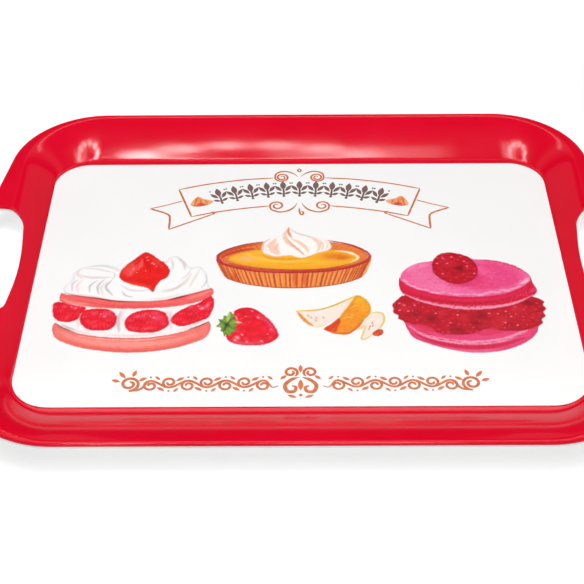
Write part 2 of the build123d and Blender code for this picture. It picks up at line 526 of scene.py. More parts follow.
def white_bottom(x, y):
    """Underside of the white layer, with the foot ring standing out of it."""
    away = np.abs(outside_rounded(x, y, *RING_HALF))
    past_flat = np.clip(away - RING_RIB + RING_ROUND, 0, RING_ROUND)
    foot = RING_ROUND - np.sqrt(RING_ROUND**2 - past_flat**2)
    foot = foot + np.maximum(away - RING_RIB, 0) * RING_WALL_SLOPE
    return np.minimum(FOOT_HEIGHT + dish(x, y), foot)


def surface_normals(height, x, y):
    """Upward unit normals of a height function, from small steps each way."""
    slope_x = (height(x + NORMAL_STEP, y) - height(x - NORMAL_STEP, y)) / (2 * NORMAL_STEP)
    slope_y = (height(x, y + NORMAL_STEP) - height(x, y - NORMAL_STEP)) / (2 * NORMAL_STEP)
    normals = np.column_stack([-slope_x, -slope_y, np.ones(len(x))])
    return normals / np.linalg.norm(normals, axis=1, keepdims=True)


def family(stations, spacing):
    """Rings of the dish at several stations."""
    sizes = [FLOOR_EDGE + (SHOULDER - FLOOR_EDGE) * station for station in stations]
    return [rounded_ring(*size, spacing) for size in sizes]


def around(half_x, half_y, corner, offsets, spacing):
    """Rings at several distances outside one rounded rectangle."""
    return [rounded_ring(half_x + off, half_y + off, corner + off, spacing) for off in offsets]


def lattice(half_x, half_y, pitch):
    """Points of a triangular lattice over a rectangle round the origin."""
    rows = []
    for row in range(-math.ceil(half_y / pitch / ROW_SHARE), math.ceil(half_y / pitch / ROW_SHARE) + 1):
        across = np.arange(-half_x, half_x, pitch) + (row % 2) * pitch / 2
        rows.append(np.column_stack([across, np.full(len(across), row * pitch * ROW_SHARE)]))
    return np.vstack(rows)


def triangles_inside(points, loop_ids):
    """Triangles over the points and inside a closed loop of them."""
    vectors = [Vector(point) for point in points]
    made = delaunay_2d_cdt(vectors, [], [list(loop_ids)], 1, EPSILON)
    first = [sources[0] for sources in made[3]]
    return np.array([[first[corner] for corner in face] for face in made[2]], int)


class Side:
    """One surface of a layer: its plan points, triangles, heights and normals."""

    def __init__(self, height, rings, rounded):
        loops = (OUTLINE, 1), (SLOT_RIGHT, -1), (SLOT_LEFT, -1)
        points, distance, outward, self.loops = [], [], [], []
        count = 0
        for step in EDGE_STEPS:
            for corners, way in loops:
                ring, out = rounded_polygon(corners, step * way, EDGE_SPACING)
                if step == 0:
                    self.loops.append((np.arange(count, count + len(ring)), way))
                count += len(ring)
                points.append(ring)
                outward.append(out * way)
                distance.append(np.full(len(ring), step))
        inner = np.vstack(rings)
        keep = inside_loop(inner, rounded_polygon(OUTLINE, EDGE_CLEAR, EDGE_SPACING)[0])
        for corners in (SLOT_RIGHT, SLOT_LEFT):
            keep &= ~inside_loop(inner, rounded_polygon(corners, -EDGE_CLEAR, EDGE_SPACING)[0])
        inner = inner[keep]
        points.append(inner)
        outward.append(np.zeros((len(inner), 2)))
        distance.append(np.full(len(inner), LIP_ROUND))
        self.points = np.vstack(points)
        self.outward = np.column_stack([np.vstack(outward), np.zeros(len(self.points))])
        distance = np.concatenate(distance)

        faces = triangles_inside(self.points, self.loops[0][0])
        middles = self.points[faces].mean(axis=1)
        for ids, way in self.loops[1:]:
            outside = ~inside_loop(middles, self.points[ids])
            faces, middles = faces[outside], middles[outside]
        self.faces = faces
        x, y = self.points.T
        self.z = height(x, y)
        self.normals = surface_normals(height, x, y)
        if rounded:
            lean = np.clip(1 - distance / LIP_ROUND, 0, 1)
            upright = np.sqrt(1 - lean**2)
            self.z = self.z - rounded * LIP_ROUND * (1 - upright)
            tilted = self.normals * upright[:, None] + rounded * self.outward * lean[:, None]
            self.normals = tilted / np.linalg.norm(tilted, axis=1, keepdims=True)


def add_mesh(name, places_mm, faces, material):
    """New object from places in millimetres, riding on the tray."""
    mesh = bpy.data.meshes.new(name)
    mesh.from_pydata((np.asarray(places_mm) * MM).tolist(), [], [list(map(int, face)) for face in faces])
    mesh.materials.append(material)
    piece = bpy.data.objects.new(name, mesh)
    scene.collection.objects.link(piece)
    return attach(piece, "root")


def make_layer(name, node, top, bottom, material):
    """Closed shell between two surfaces, with flanks along the outline and the slots."""
    count = len(top.points)
    places = np.vstack([
        np.column_stack([top.points, top.z]),
        np.column_stack([bottom.points, bottom.z]),
    ])
    faces = [tuple(face) for face in top.faces] + [tuple(face[::-1] + count) for face in bottom.faces]
    normals = [top.normals[top.faces.ravel()], -bottom.normals[bottom.faces[:, ::-1].ravel()]]
    flank_normals = []
    for (ids, way), (low_ids, _) in zip(top.loops, bottom.loops):
        for here, after, low, low_after in zip(ids, np.roll(ids, -1), low_ids, np.roll(low_ids, -1)):
            flank = [(low + count, here), (low_after + count, after)]
            (one, two), (four, three) = flank[::way]
            faces.append((one, four, three, two))
            ends = [top.outward[here], top.outward[after]][::way]
            flank_normals += [ends[0], ends[1], ends[1], ends[0]]
    piece = add_mesh(name, places, faces, material)
    piece.data.shade_smooth()
    piece.data.normals_split_custom_set(np.vstack(normals + [np.array(flank_normals)]).tolist())
    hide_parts(node)
    return piece


wall_rings = family(WALL_STATIONS, RING_SPACING)
crease_rings = family(CREASE_STATIONS, RING_SPACING)
rim_points = lattice(*TRAY_HALF, RIM_PITCH)
rim_points = rim_points[outside_rounded(*rim_points.T, *(SHOULDER + RIM_MARGIN)) > 0]
floor_points = lattice(*(FOIL_HALF - FLOOR_MARGIN), FLOOR_PITCH)
bed_rings = around(*FOIL_HALF, FOIL_CORNER, BED_OFFSETS, RING_SPACING)
foot_rings = around(*RING_HALF, RING_OFFSETS, RING_SPACING)

red_side = Side(red_top, wall_rings + crease_rings + bed_rings + [rim_points, floor_points], 1)
seam_side = Side(seam, wall_rings[::2] + crease_rings[::2] + [rim_points, floor_points], 0)
under_side = Side(white_bottom, wall_rings + crease_rings + foot_rings + [rim_points, floor_points], -1)

red = red_melamine()
white = white_melamine()
red_layer = make_layer("red_layer", "top_shell", red_side, seam_side, red)
make_layer("white_layer", "base_shell", seam_side, under_side, white)

# Painted shade along the recess round the foil, stored on the red layer's points.
gap = outside_rounded(*red_side.points.T, *FOIL_HALF, FOIL_CORNER) - RECESS_GAP
painted_groove_shade = np.concatenate([np.clip(1 - gap / GROOVE_SHADE_FADE, 0, 1), np.zeros(len(seam_side.points))])
painted_groove_shade_layer = red_layer.data.attributes.new("painted_groove_shade", "FLOAT", "POINT")
painted_groove_shade_layer.data.foreach_set("value", painted_groove_shade.astype(np.float32))

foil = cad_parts["decor_foil"]
foil.data.materials.clear()
foil.data.materials.append(foil_glaze())
rounding = foil.modifiers.new("edge_round", "BEVEL")
rounding.width = FOIL_ROUND * MM
rounding.segments = 2

# ---- printed motifs: tools for painting ----
PAPER = (0.957, 0.956, 0.952)
PRINT_TOP = box_mm("print_banner")[1][2]
FILM_PITCH = 0.44
TREE_SPACING = 0.15
EDGE_RIPPLE = 0.22
STROKE_RIPPLE = 0.25
STROKE_TIP = 0.02
EDGE_GAP = 0.6

# A dab is painted out to DAB_REACH times its size. A soft one fades by DAB_FADE, and a crisp one
# ends at DAB_EDGE over DAB_EDGE_WIDTH.
DAB_REACH = 2.2
DAB_FADE = 1.4
DAB_EDGE = 1.15
DAB_EDGE_WIDTH = 0.4

# Every pen line or patch lies a little over the one before it. A line's width grows from its ends
# by PEN_GROWTH, and its colour varies along it.
PEN_STEP = 0.002
PEN_GROWTH = 6.0
PEN_WEIGHT = 1.2
PEN_SPACING = 0.5
PEN_SHADING = 0.10
PEN_WAVE = 17

# Steps of a smooth line from one point to the next, and of a whole spiral, circle and side of a leaf.
SMOOTH_STEPS = 6
SPIRAL_STEPS = 26
SPIRAL_EASING = 0.8
CIRCLE_STEPS = 16
LEAF_STEPS = 8


def smooth(points, closed=True):
    """Curve that passes through the points, as a polyline."""
    knots = np.array(points, float)
    if closed:
        padded = np.vstack([knots[-1:], knots, knots[:2]])
    else:
        padded = np.vstack([2 * knots[0] - knots[1], knots, 2 * knots[-1] - knots[-2]])
    curve = []
    for before, start, end, after in zip(padded, padded[1:], padded[2:], padded[3:]):
        for share in np.arange(SMOOTH_STEPS) / SMOOTH_STEPS:
            bend = 2 * before - 5 * start + 4 * end - after
            twist = 3 * start - before - 3 * end + after
            sum_of_terms = 2 * start + (end - before) * share + bend * share**2 + twist * share**3
            curve.append(sum_of_terms / 2)
    if not closed:
        curve.append(knots[-1])
    return np.array(curve)


def evenly(line, spacing, closed=True):
    """The same line with points at even spacing."""
    path = np.vstack([line, line[:1]]) if closed else line
    lengths = np.concatenate([[0], np.cumsum(np.hypot(*np.diff(path, axis=0).T))])
    count = max(4, round(lengths[-1] / spacing))
    stops = np.linspace(0, lengths[-1], count + 1)
    if closed:
        stops = stops[:-1]
    return np.column_stack([np.interp(stops, lengths, path[:, axis]) for axis in (0, 1)])


def nearest(points, line, closed):
    """Distance of each point from a line, and how far along it the nearest place is, 0 to 1."""
    stops = evenly(line, TREE_SPACING, closed)
    tree = KDTree(len(stops))
    for index, (x, y) in enumerate(stops.tolist()):
        tree.insert((x, y, 0), index)
    tree.balance()
    found = [tree.find((x, y, 0))[1:] for x, y in points.tolist()]
    index, away = np.array(found).reshape(-1, 2).T
    return away, index / len(stops)


def circle():
    """Points evenly round a circle of radius 1."""
    angles = np.linspace(0, 2 * math.pi, CIRCLE_STEPS + 1)[:-1]
    return np.column_stack([np.cos(angles), np.sin(angles)])


def spiral(centre, radius, start_turn, turns, inner=0.18):
    """Points that wind out from near a centre to the given radius."""
    share = np.linspace(0, 1, SPIRAL_STEPS)
    angles = 2 * math.pi * (start_turn + turns * share)
    reach = radius * (inner + (1 - inner) * share**SPIRAL_EASING)
    return np.array(centre) + np.column_stack([reach * np.cos(angles), reach * np.sin(angles)])


def ripple(points):
    """Gentle unevenness of a hand-painted edge, -1 to 1."""
    x, y = points.T
    fine = np.sin(1.9 * x + 1.3 * y) * np.sin(2.3 * y - 0.8 * x + 1)
    return fine * 0.6 + np.sin(0.9 * x - 1.1 * y) * 0.4


class Film:
    """A film of ink inside an outline: a fine mesh whose points are painted, layer over layer."""

    def __init__(self, outline, paper=PAPER, pitch=FILM_PITCH):
        curve = smooth(outline)
        self.edge = evenly(curve, pitch)
        low, high = self.edge.min(axis=0), self.edge.max(axis=0)
        inner = lattice(*((high - low) / 2 + pitch), pitch) + (low + high) / 2
        inner = inner[inside_loop(inner, self.edge)]
        inner = inner[nearest(inner, curve, True)[0] > EDGE_GAP * pitch]
        self.points = np.vstack([self.edge, inner])
        self.tint = np.tile(np.array(paper, float), (len(self.points), 1))

    def near(self, line, margin):
        """Ids of the points in the box round a line."""
        low, high = line.min(axis=0) - margin, line.max(axis=0) + margin
        return np.flatnonzero(((self.points > low) & (self.points < high)).all(axis=1))

    def lay(self, ids, cover, colour):
        self.tint[ids] += cover[:, None] * (colour - self.tint[ids])

    def wash(self, loop, colour, soft=0.6, pool=0.10, pool_width=0.9, strength=1.0):
        """Fill a smooth loop. Pigment pools a little darker along its edge."""
        curve = smooth(loop)
        ids = self.near(curve, soft)
        away = nearest(self.points[ids], curve, True)[0]
        inward = np.where(inside_loop(self.points[ids], curve), away, -away)
        inward += EDGE_RIPPLE * ripple(self.points[ids])
        cover = strength * np.clip(0.5 + inward / soft, 0, 1)
        shade = 1 - pool * np.exp(-np.maximum(inward, 0) / pool_width)
        self.lay(ids, cover, np.array(colour) * shade[:, None])

    def stroke(self, points, width, colour, soft=0.45, strength=1.0, taper=0.6):
        """Brush stroke along a smooth line, thinning to both ends."""
        line = smooth(points, closed=False)
        ids = self.near(line, width + soft)
        away, along = nearest(self.points[ids], line, False)
        half = width / 2 * np.sin(np.pi * np.clip(along, STROKE_TIP, 1 - STROKE_TIP)) ** taper
        half = half * (1 + STROKE_RIPPLE * ripple(self.points[ids]))
        cover = strength * np.clip(0.5 + (half - away) / soft, 0, 1)
        self.lay(ids, cover, np.array(colour))

    def strokes(self, *rows):
        """Brush strokes, each row as stroke takes it."""
        for row in rows:
            self.stroke(*row)

    def dabs(self, *rows):
        """Dabs, each row as dab takes it."""
        for row in rows:
            self.dab(*row)

    def dab(self, x, y, reach_x, reach_y, colour, strength=1.0, turn=0.0, crisp=0.0):
        """Soft spot of colour, or a crisp one as crisp goes from 0 to 1."""
        reach = DAB_REACH * max(reach_x, reach_y)
        ids = np.flatnonzero(np.abs(self.points[:, 0] - x) < reach)
        ids = ids[np.abs(self.points[ids, 1] - y) < reach]
        across = self.points[ids] - (x, y)
        cos, sin = math.cos(turn), math.sin(turn)
        along = (across[:, 0] * cos + across[:, 1] * sin) / reach_x
        side = (across[:, 1] * cos - across[:, 0] * sin) / reach_y
        away = np.hypot(along, side)
        soft = np.exp(-away**2 * DAB_FADE)
        hard = np.clip((DAB_EDGE - away) / DAB_EDGE_WIDTH, 0, 1)
        self.lay(ids, strength * (soft * (1 - crisp) + hard * crisp), np.array(colour))


def linear(colour):
    """Screen colour to linear light."""
    colour = np.clip(colour, 0, 1)
    return np.where(colour <= 0.04045, colour / 12.92, ((colour + 0.055) / 1.055) ** 2.4)


def turn_of(loop):
    """1 for a loop that runs anticlockwise, -1 for one that runs clockwise."""
    x, y = loop.T
    return 1 if (x * np.roll(y, -1) - y * np.roll(x, -1)).sum() > 0 else -1


def flank_faces(rim, down, way):
    """Faces round a thin solid: its base's corners come a fixed number after those of its top."""
    corners = [(here, (here + 1) % rim) for here in range(rim)]
    return [(here + down, after + down, after, here)[::way] for here, after in corners]


class Motif:
    """One printed motif: films and pen strokes, as thin closed solids in a single mesh."""

    def __init__(self, *films):
        self.places, self.faces, self.tints = [], [], []
        self.count = 0
        self.top = PRINT_TOP
        for film in films:
            self.add_film(film)

    def add(self, places, faces, tint):
        self.places.append(places)
        self.faces += [tuple(int(corner) + self.count for corner in face) for face in faces]
        self.tints.append(np.broadcast_to(tint, (len(places), 3)))
        self.count += len(places)

    def add_film(self, film):
        count, rim = len(film.points), len(film.edge)
        top = np.column_stack([film.points, np.full(count, PRINT_TOP)])
        base = np.column_stack([film.edge, np.full(rim, FOIL_TOP)])
        faces = [tuple(face) for face in triangles_inside(film.points, range(rim))]
        faces += [tuple(face[::-1] + count) for face in triangles_inside(film.edge, range(rim))]
        faces += flank_faces(rim, count, turn_of(film.edge))
        self.add(np.vstack([top, base]), faces, np.vstack([film.tint, film.tint[:rim]]))

    def pen(self, points, width, colour, ends=(0.15, 0.15), swell=0.0, curved=True, mirrored=False):
        """Inked line. Its width grows from the shares in ends, and swells in the middle."""
        self.top += PEN_STEP
        line = smooth(points, closed=False) if curved else np.array(points, float)
        line = evenly(line, PEN_SPACING, closed=False)
        if mirrored:
            line = line * (-1, 1)
        ahead = np.gradient(line, axis=0)
        ahead /= np.hypot(*ahead.T)[:, None]
        side = np.column_stack([-ahead[:, 1], ahead[:, 0]])
        share = np.linspace(0, 1, len(line))
        growth = np.minimum(ends[0] + share * PEN_GROWTH, ends[1] + (1 - share) * PEN_GROWTH)
        half = PEN_WEIGHT * width / 2 * np.minimum(1, growth) * (1 + swell * np.sin(np.pi * share))
        left, right = line + side * half[:, None], line - side * half[:, None]
        edges = ((left, self.top), (right, self.top), (right, FOIL_TOP), (left, FOIL_TOP))
        rows = [np.column_stack([edge, np.full(len(line), level)]) for edge, level in edges]
        size = len(line)
        faces = []
        for here in range(size - 1):
            for row in range(4):
                start, across = row * size + here, (row + 1) % 4 * size + here
                faces.append((start, across, across + 1, start + 1))
        faces.append((3 * size, 2 * size, size, 0))
        faces.append((size - 1, 2 * size - 1, 3 * size - 1, 4 * size - 1))
        wave = 1 - PEN_SHADING * np.sin(np.tile(share, 4) * PEN_WAVE + line[0, 0]) ** 2
        self.add(np.vstack(rows), faces, np.array(colour) * wave[:, None])

    def leaf(self, centre, length, width, angle, colour):
        """Almond-shaped leaf."""
        share = np.linspace(0, 1, LEAF_STEPS + 1)
        bulge = width / 2 * np.sin(np.pi * share)
        spine = length * (share - 0.5)
        upper, lower = np.column_stack([spine, bulge]), np.column_stack([spine, -bulge])
        loop = np.vstack([upper, lower[::-1][1:-1]])
        loop = np.array([turned(point, angle) for point in loop]) + centre
        self.patch(loop, colour)

    def dot(self, centre, radius, colour):
        self.patch(np.array(centre) + radius * circle(), colour)

    def patch(self, loop, colour):
        """Flat patch of ink with a plain outline."""
        self.top += PEN_STEP
        rim = len(loop)
        top = np.column_stack([loop, np.full(rim, self.top)])
        base = np.column_stack([loop, np.full(rim, FOIL_TOP)])
        way = turn_of(loop)
        faces = [tuple(range(rim))[::way], tuple(range(2 * rim - 1, rim - 1, -1))[::way]]
        faces += flank_faces(rim, rim, way)
        self.add(np.vstack([top, base]), faces, colour)

    def make(self, name, node, slot, material):
        piece = add_mesh(name, np.vstack(self.places), self.faces, material)
        tint = piece.data.attributes.new("tint", "FLOAT_COLOR", "POINT")
        colours = np.column_stack([linear(np.vstack(self.tints)), np.ones(self.count)])
        tint.data.foreach_set("color", colours.astype(np.float32).ravel())
        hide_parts(node)
        return piece


DICE_SEED = 11
dice = np.random.default_rng(DICE_SEED)


def scattered(loop, pitch, margin, jitter=0.45):
    """Points spread loosely inside a smooth loop, no nearer its edge than a margin."""
    curve = smooth(loop)
    low, high = curve.min(axis=0), curve.max(axis=0)
    points = lattice(*((high - low) / 2 + pitch), pitch) + (low + high) / 2
    points = points + dice.uniform(-jitter, jitter, points.shape) * pitch
    points = points[inside_loop(points, curve)]
    return points[nearest(points, curve, True)[0] > margin]


# ---- the painted motifs ----
BERRY_DEEP = (0.72, 0.03, 0.08)
BERRY_LIGHT = (0.98, 0.42, 0.42)
BERRY_SHINE = (1.0, 0.80, 0.80)
ROSE = (0.93, 0.30, 0.42)


def paint_strawberry(film, loop, seeds, base):
    """Strawberry flesh: a blotched red wash with dark seed pits, each with a paler fleck beside it."""
    film.wash(loop, base, pool=0.14)
    for x, y in scattered(loop, 6.0, 1.5):
        film.dab(x, y, 3.0, 2.2, BERRY_DEEP, 0.32)
    for x, y in scattered(loop, 4.4, 1.0):
        film.dab(x, y, 1.9, 1.4, BERRY_LIGHT, 0.42)
    for x, y in scattered(loop, seeds, 0.7):
        film.dab(x, y, 0.34, 0.60, BERRY_DEEP, 0.6, dice.uniform(-0.6, 0.6), 0.4)
        film.dab(x - 0.5, y + 0.35, 0.36, 0.45, BERRY_LIGHT, 0.4)


def paint_raspberry(film, loop, pitch=3.3, shine=0.16):
    """Raspberry: a deep wash under round drupelets, some dark, a few with a soft point of light."""
    film.wash(loop, (0.80, 0.09, 0.19), pool=0.2)
    for x, y in scattered(loop, 2.6 * pitch, 1.5):
        film.dab(x, y, 1.0 * pitch, 0.7 * pitch, (0.86, 0.09, 0.14), 0.8, dice.uniform(-1, 1))
    for x, y in scattered(loop, pitch, 0.5, 0.3):
        size = pitch * dice.uniform(0.34, 0.52)
        tone = dice.uniform(-0.08, 0.10)
        film.dab(x + 0.3, y - 0.4, 1.1 * size, size, (0.60, 0.04, 0.11), 0.58)
        film.dab(x, y, 0.9 * size, 0.76 * size, (0.87 + tone, 0.14 + tone, 0.22 + tone), 0.75, crisp=0.25)
        if dice.random() < shine:
            film.dab(x - 0.3, y + 0.5, 0.28 * size, 0.2 * size, (1.0, 0.66, 0.72), 0.75, crisp=0.3)
    for x, y in scattered(loop, 2.4 * pitch, 1.0):
        film.dab(x, y, 0.8 * pitch, 0.5 * pitch, (0.60, 0.05, 0.12), 0.32, dice.uniform(-1, 1))


def strawberry_cake():
    """Two biscuits with cream and cut strawberries between them, piped cream and a berry on top."""
    lilac = (0.84, 0.76, 0.81)
    grey = (0.72, 0.69, 0.72)
    blush = (0.95, 0.83, 0.84)
    beige = (0.9, 0.85, 0.81)
    film = Film([
        (-132.6, -45.5), (-129.5, -53), (-119, -59), (-105, -62.6), (-90, -64), (-75, -62.7), (-61, -58.8),
        (-50.5, -53), (-47.5, -45), (-49, -38), (-46.9, -29), (-47.2, -16), (-50.8, -9), (-52.2, 0),
        (-56, 6.3), (-61.5, 5.5), (-64.6, 9.8), (-69, 15), (-73.5, 14.4), (-78, 12), (-84, 18),
        (-87.3, 19.2), (-91, 17.6), (-97, 9.6), (-104, 6.6), (-110, 8.2), (-117, 7.4), (-123.4, 5),
        (-127, 0), (-127.6, -6), (-131, -12), (-132, -20), (-135, -25), (-135, -32), (-132.4, -39),
    ])
    filling = [
        (-131, -22), (-110, -28), (-80, -29), (-52, -22), (-48, -34), (-50, -41), (-60, -47),
        (-84.6, -53.2), (-108, -51.4), (-122, -47.6), (-131.5, -41), (-133, -32),
    ]
    film.wash(filling, (0.975, 0.945, 0.94), pool=0.02)
    for x, bottom, tone in (
        (-97, -48, grey), (-95.6, -40, blush), (-119, -44, blush), (-69.5, -46, lilac), (-71, -34, blush),
    ):
        film.stroke([(x, -31), (x - 0.8, (bottom - 31) / 2), (x + 0.6, bottom)], 2.2, tone, 1.2, 0.6)
    for points in (
        [(-129, -41), (-121, -46.4), (-110, -49.6)], [(-104, -50.2), (-88, -51), (-72, -49)],
        [(-66, -47.6), (-58, -43.6), (-51, -38.6)],
    ):
        film.stroke(points, 2.0, blush, 1.0, 0.7)
    film.stroke([(-128, -41.6), (-124, -44.4), (-119.6, -46.2)], 1.4, grey, 0.8, 0.5)

    film.wash([
        (-131.4, -40.8), (-132.6, -45.5), (-129.4, -53), (-119, -58.8), (-105, -62.4), (-90, -63.8),
        (-75, -62.6), (-61, -58.6), (-50.7, -53), (-47.8, -45), (-49.4, -40), (-57.7, -45.6), (-69.2, -50),
        (-84.6, -52.6), (-103.8, -51.9), (-119.2, -48.6), (-126, -45),
    ], (0.975, 0.5, 0.46), pool=0.1)
    film.strokes(
        ([(-129, -47), (-118, -53.2), (-103, -56.8), (-86, -57.6), (-69, -55.4), (-56, -50)],
         4.4, (1.0, 0.64, 0.59), 2.4, 0.75),
        ([(-128, -52.6), (-112, -59.4), (-90, -62.6), (-68, -60), (-52, -51.6)],
         2.6, (0.93, 0.36, 0.33), 1.6, 0.6),
        ([(-120, -50.4), (-103.8, -53.6), (-84.6, -54.2), (-66, -51)], 0.9, (0.99, 0.74, 0.7), 0.6, 0.8),
        ([(-131, -41.2), (-128.4, -43.4), (-124.6, -45.8), (-120.4, -47.8)],
         0.9, (0.56, 0.32, 0.3), 0.5, 0.85),
        ([(-60.4, -46.6), (-56.6, -44.8), (-52.4, -42.4), (-49.4, -40.2)],
         0.9, (0.5, 0.28, 0.26), 0.5, 0.85),
    )

    slices = (
        [(-134.2, -25), (-129.2, -24), (-121.5, -25.2), (-116.4, -29), (-118.8, -33.8), (-120, -37.8),
         (-125.4, -40), (-130.8, -38.4), (-133.6, -33.5)],
        [(-116.9, -30.6), (-111.5, -29.4), (-104.6, -29.8), (-100, -33.6), (-98.6, -38.6), (-100, -43.8),
         (-103.2, -46.4), (-111.5, -46.4), (-116.4, -43), (-118.6, -38.4), (-118.4, -33.6)],
        [(-93.4, -36.8), (-89.2, -32.2), (-80.8, -30.2), (-73.8, -32.2), (-71.2, -37), (-70.8, -43),
         (-76, -47.6), (-83, -48.6), (-91.3, -47), (-94, -42.2)],
        [(-69.6, -38.5), (-66.9, -33), (-61.5, -28.5), (-55.4, -25.2), (-51.4, -20.6), (-48.6, -19.4),
         (-46.8, -24), (-47.2, -29.6), (-49.4, -36.4), (-53.8, -39.4), (-62.3, -43.6), (-67.2, -42.2)],
    )
    for index, loop in enumerate(slices):
        paint_strawberry(film, loop, 2.0, (0.97, 0.07, 0.19))
        centre = np.mean(loop, axis=0)
        for shift_x, shift_y, size in ((3.2, 3.4, 2.6), (-2.4, 4.2, 1.8)):
            film.dab(centre[0] + shift_x, centre[1] + shift_y, size, size * 0.7, ROSE, 0.75, 0.5)
        film.dab(centre[0] + 3.6, centre[1] + 3.0 - index % 2, 0.9, 0.6, BERRY_SHINE, 0.85, 0.7)
        film.dab(centre[0] + 1.4, centre[1] + 4.2, 0.6, 0.45, BERRY_SHINE, 0.7)
    for x, y, size in (
        (-75.6, -37.6, 3.6), (-79, -33.4, 3.0), (-88, -35.6, 2.6), (-104, -33, 2.6), (-110, -43.6, 2.6),
    ):
        film.dab(x, y, size, size * 0.7, (0.94, 0.36, 0.50), 0.6, 0.3)
    film.dab(-50.5, -27, 1.2, 2.6, (1.0, 0.62, 0.70), 0.8, -0.3)
    film.dab(-53.4, -29.4, 1.6, 1.0, (1.0, 0.72, 0.76), 0.7, 0.4)

    film.wash([
        (-131.6, -16.6), (-131.4, -22), (-127, -25.4), (-117, -27.4), (-103.8, -29), (-92, -29.4),
        (-80.8, -29), (-69.2, -27.9), (-57.7, -24.8), (-50, -20.2), (-47.6, -16.6), (-48.2, -12.4),
        (-51, -13.6), (-63, -18.2), (-73, -21.6), (-85, -23.2), (-100, -22.4), (-112, -19.8), (-127, -17.8),
    ], (0.97, 0.42, 0.41), pool=0.06)
    film.strokes(
        ([(-130.6, -20.6), (-124, -24.6), (-114, -25.6)], 2.4, (0.99, 0.6, 0.57), 1.4, 0.8),
        ([(-122, -22.4), (-104, -26.8), (-86, -27.6), (-66, -25.4)], 2.6, (0.93, 0.33, 0.33), 1.4, 0.6),
        ([(-62, -21.4), (-54, -18), (-48.6, -14.6)], 2.2, (0.99, 0.6, 0.56), 1.2, 0.7),
        ([(-129.6, -22.4), (-122, -26.2), (-112, -28.3), (-100, -29.4)], 0.8, (0.99, 0.74, 0.71), 0.5, 0.8),
    )

    film.wash([
        (-129.6, -15.6), (-129.6, -9.4), (-126.4, -4.8), (-126.4, 0), (-123, 4.4), (-117, 6.8), (-110, 7.6),
        (-103.8, 5.6), (-98, 3), (-78, 8), (-73.4, 13.8), (-68.8, 14.4), (-64.6, 9.2), (-61.3, 4.8),
        (-56.2, 5.6), (-52.6, 0), (-51, -8.5), (-50.8, -13.4), (-63, -18.4), (-73, -22), (-84.6, -23.4),
        (-100, -22.8), (-111.5, -20.2), (-121, -18.6),
    ], (0.972, 0.968, 0.964), 0.8, 0.13, 0.7)
    film.strokes(
        ([(-129.2, -16.6), (-120, -19), (-111.5, -20.6), (-104, -22.6), (-96, -23.6), (-85, -23.8)],
         0.9, (0.58, 0.17, 0.18), 0.5, 0.9),
        ([(-72, -22.6), (-66, -20.2), (-61, -18.4)], 1.2, (0.52, 0.14, 0.16), 0.5, 0.9),
        ([(-62, -18.2), (-56, -16.4), (-51, -13.6)], 0.6, (0.72, 0.28, 0.27), 0.5, 0.8),
    )
    swirls = (
        ([(-120, 4.4), (-114, 4.0), (-108, 2.2), (-103.6, 0.4)], 1.3, lilac, 0.55),
        ([(-117, 6.4), (-110.6, 6.6), (-105, 4.6), (-101.4, 2)], 1.2, grey, 0.4),
        ([(-123.2, 3.6), (-124.4, 0.4), (-122.6, -2.6), (-120.6, -4)], 1.6, blush, 0.9),
        ([(-122.6, -0.6), (-119, -2.8), (-113, -3.4), (-105, -3)], 2.0, lilac, 0.55),
        ([(-123.4, -5), (-126, -9), (-125.6, -15)], 1.2, lilac, 0.8),
        ([(-121, -5.4), (-123.4, -10.4), (-121.8, -16.4)], 1.6, blush, 0.8),
        ([(-112.4, -5.6), (-116, -10), (-116, -15.6)], 0.9, grey, 0.8),
        ([(-108.6, -4.8), (-111.8, -10.6), (-110.6, -17.4)], 1.2, grey, 0.75),
        ([(-107, -6), (-109.6, -12), (-108, -18.6)], 1.8, beige, 0.6),
        ([(-104.6, -5.4), (-107.2, -11.6), (-102.8, -18.6)], 1.2, grey, 0.85),
        ([(-103.6, 0.6), (-103.4, -2.4), (-104.4, -4.8)], 0.8, grey, 0.6),
        ([(-99.4, -9.4), (-94, -13.8), (-87, -14.6), (-82, -13)], 1.3, lilac, 0.6),
        ([(-98, -15), (-95.6, -18.6), (-91.6, -19.8)], 1.2, grey, 0.6),
        ([(-78.6, -15.8), (-70, -14), (-64.2, -8), (-60.4, 0)], 2.4, beige, 0.75),
        ([(-76, -14.2), (-69, -12.8), (-65, -8.6)], 1.0, grey, 0.4),
        ([(-55.8, 4.4), (-58.4, -3.6), (-61.4, -12.6)], 1.5, beige, 0.75),
        ([(-52.4, 0.4), (-51.8, -6.6), (-54.6, -12.8)], 1.1, grey, 0.5),
        ([(-69.4, 13.6), (-65.4, 9), (-64.4, 3)], 2.0, lilac, 0.65),
        ([(-72.6, 12.4), (-71.4, 7.6), (-71.4, 3)], 1.1, grey, 0.5),
        ([(-60.6, 4.6), (-62.6, -1), (-66.4, -5.6)], 1.2, lilac, 0.45),
        ([(-127.4, -16.6), (-118, -18.4), (-110, -20)], 1.6, blush, 0.7),
        ([(-84, -22), (-74, -20.6), (-64, -17)], 1.8, beige, 0.5),
    )
    for points, width, colour, strength in swirls:
        film.stroke(points, width, colour, 0.9, strength)

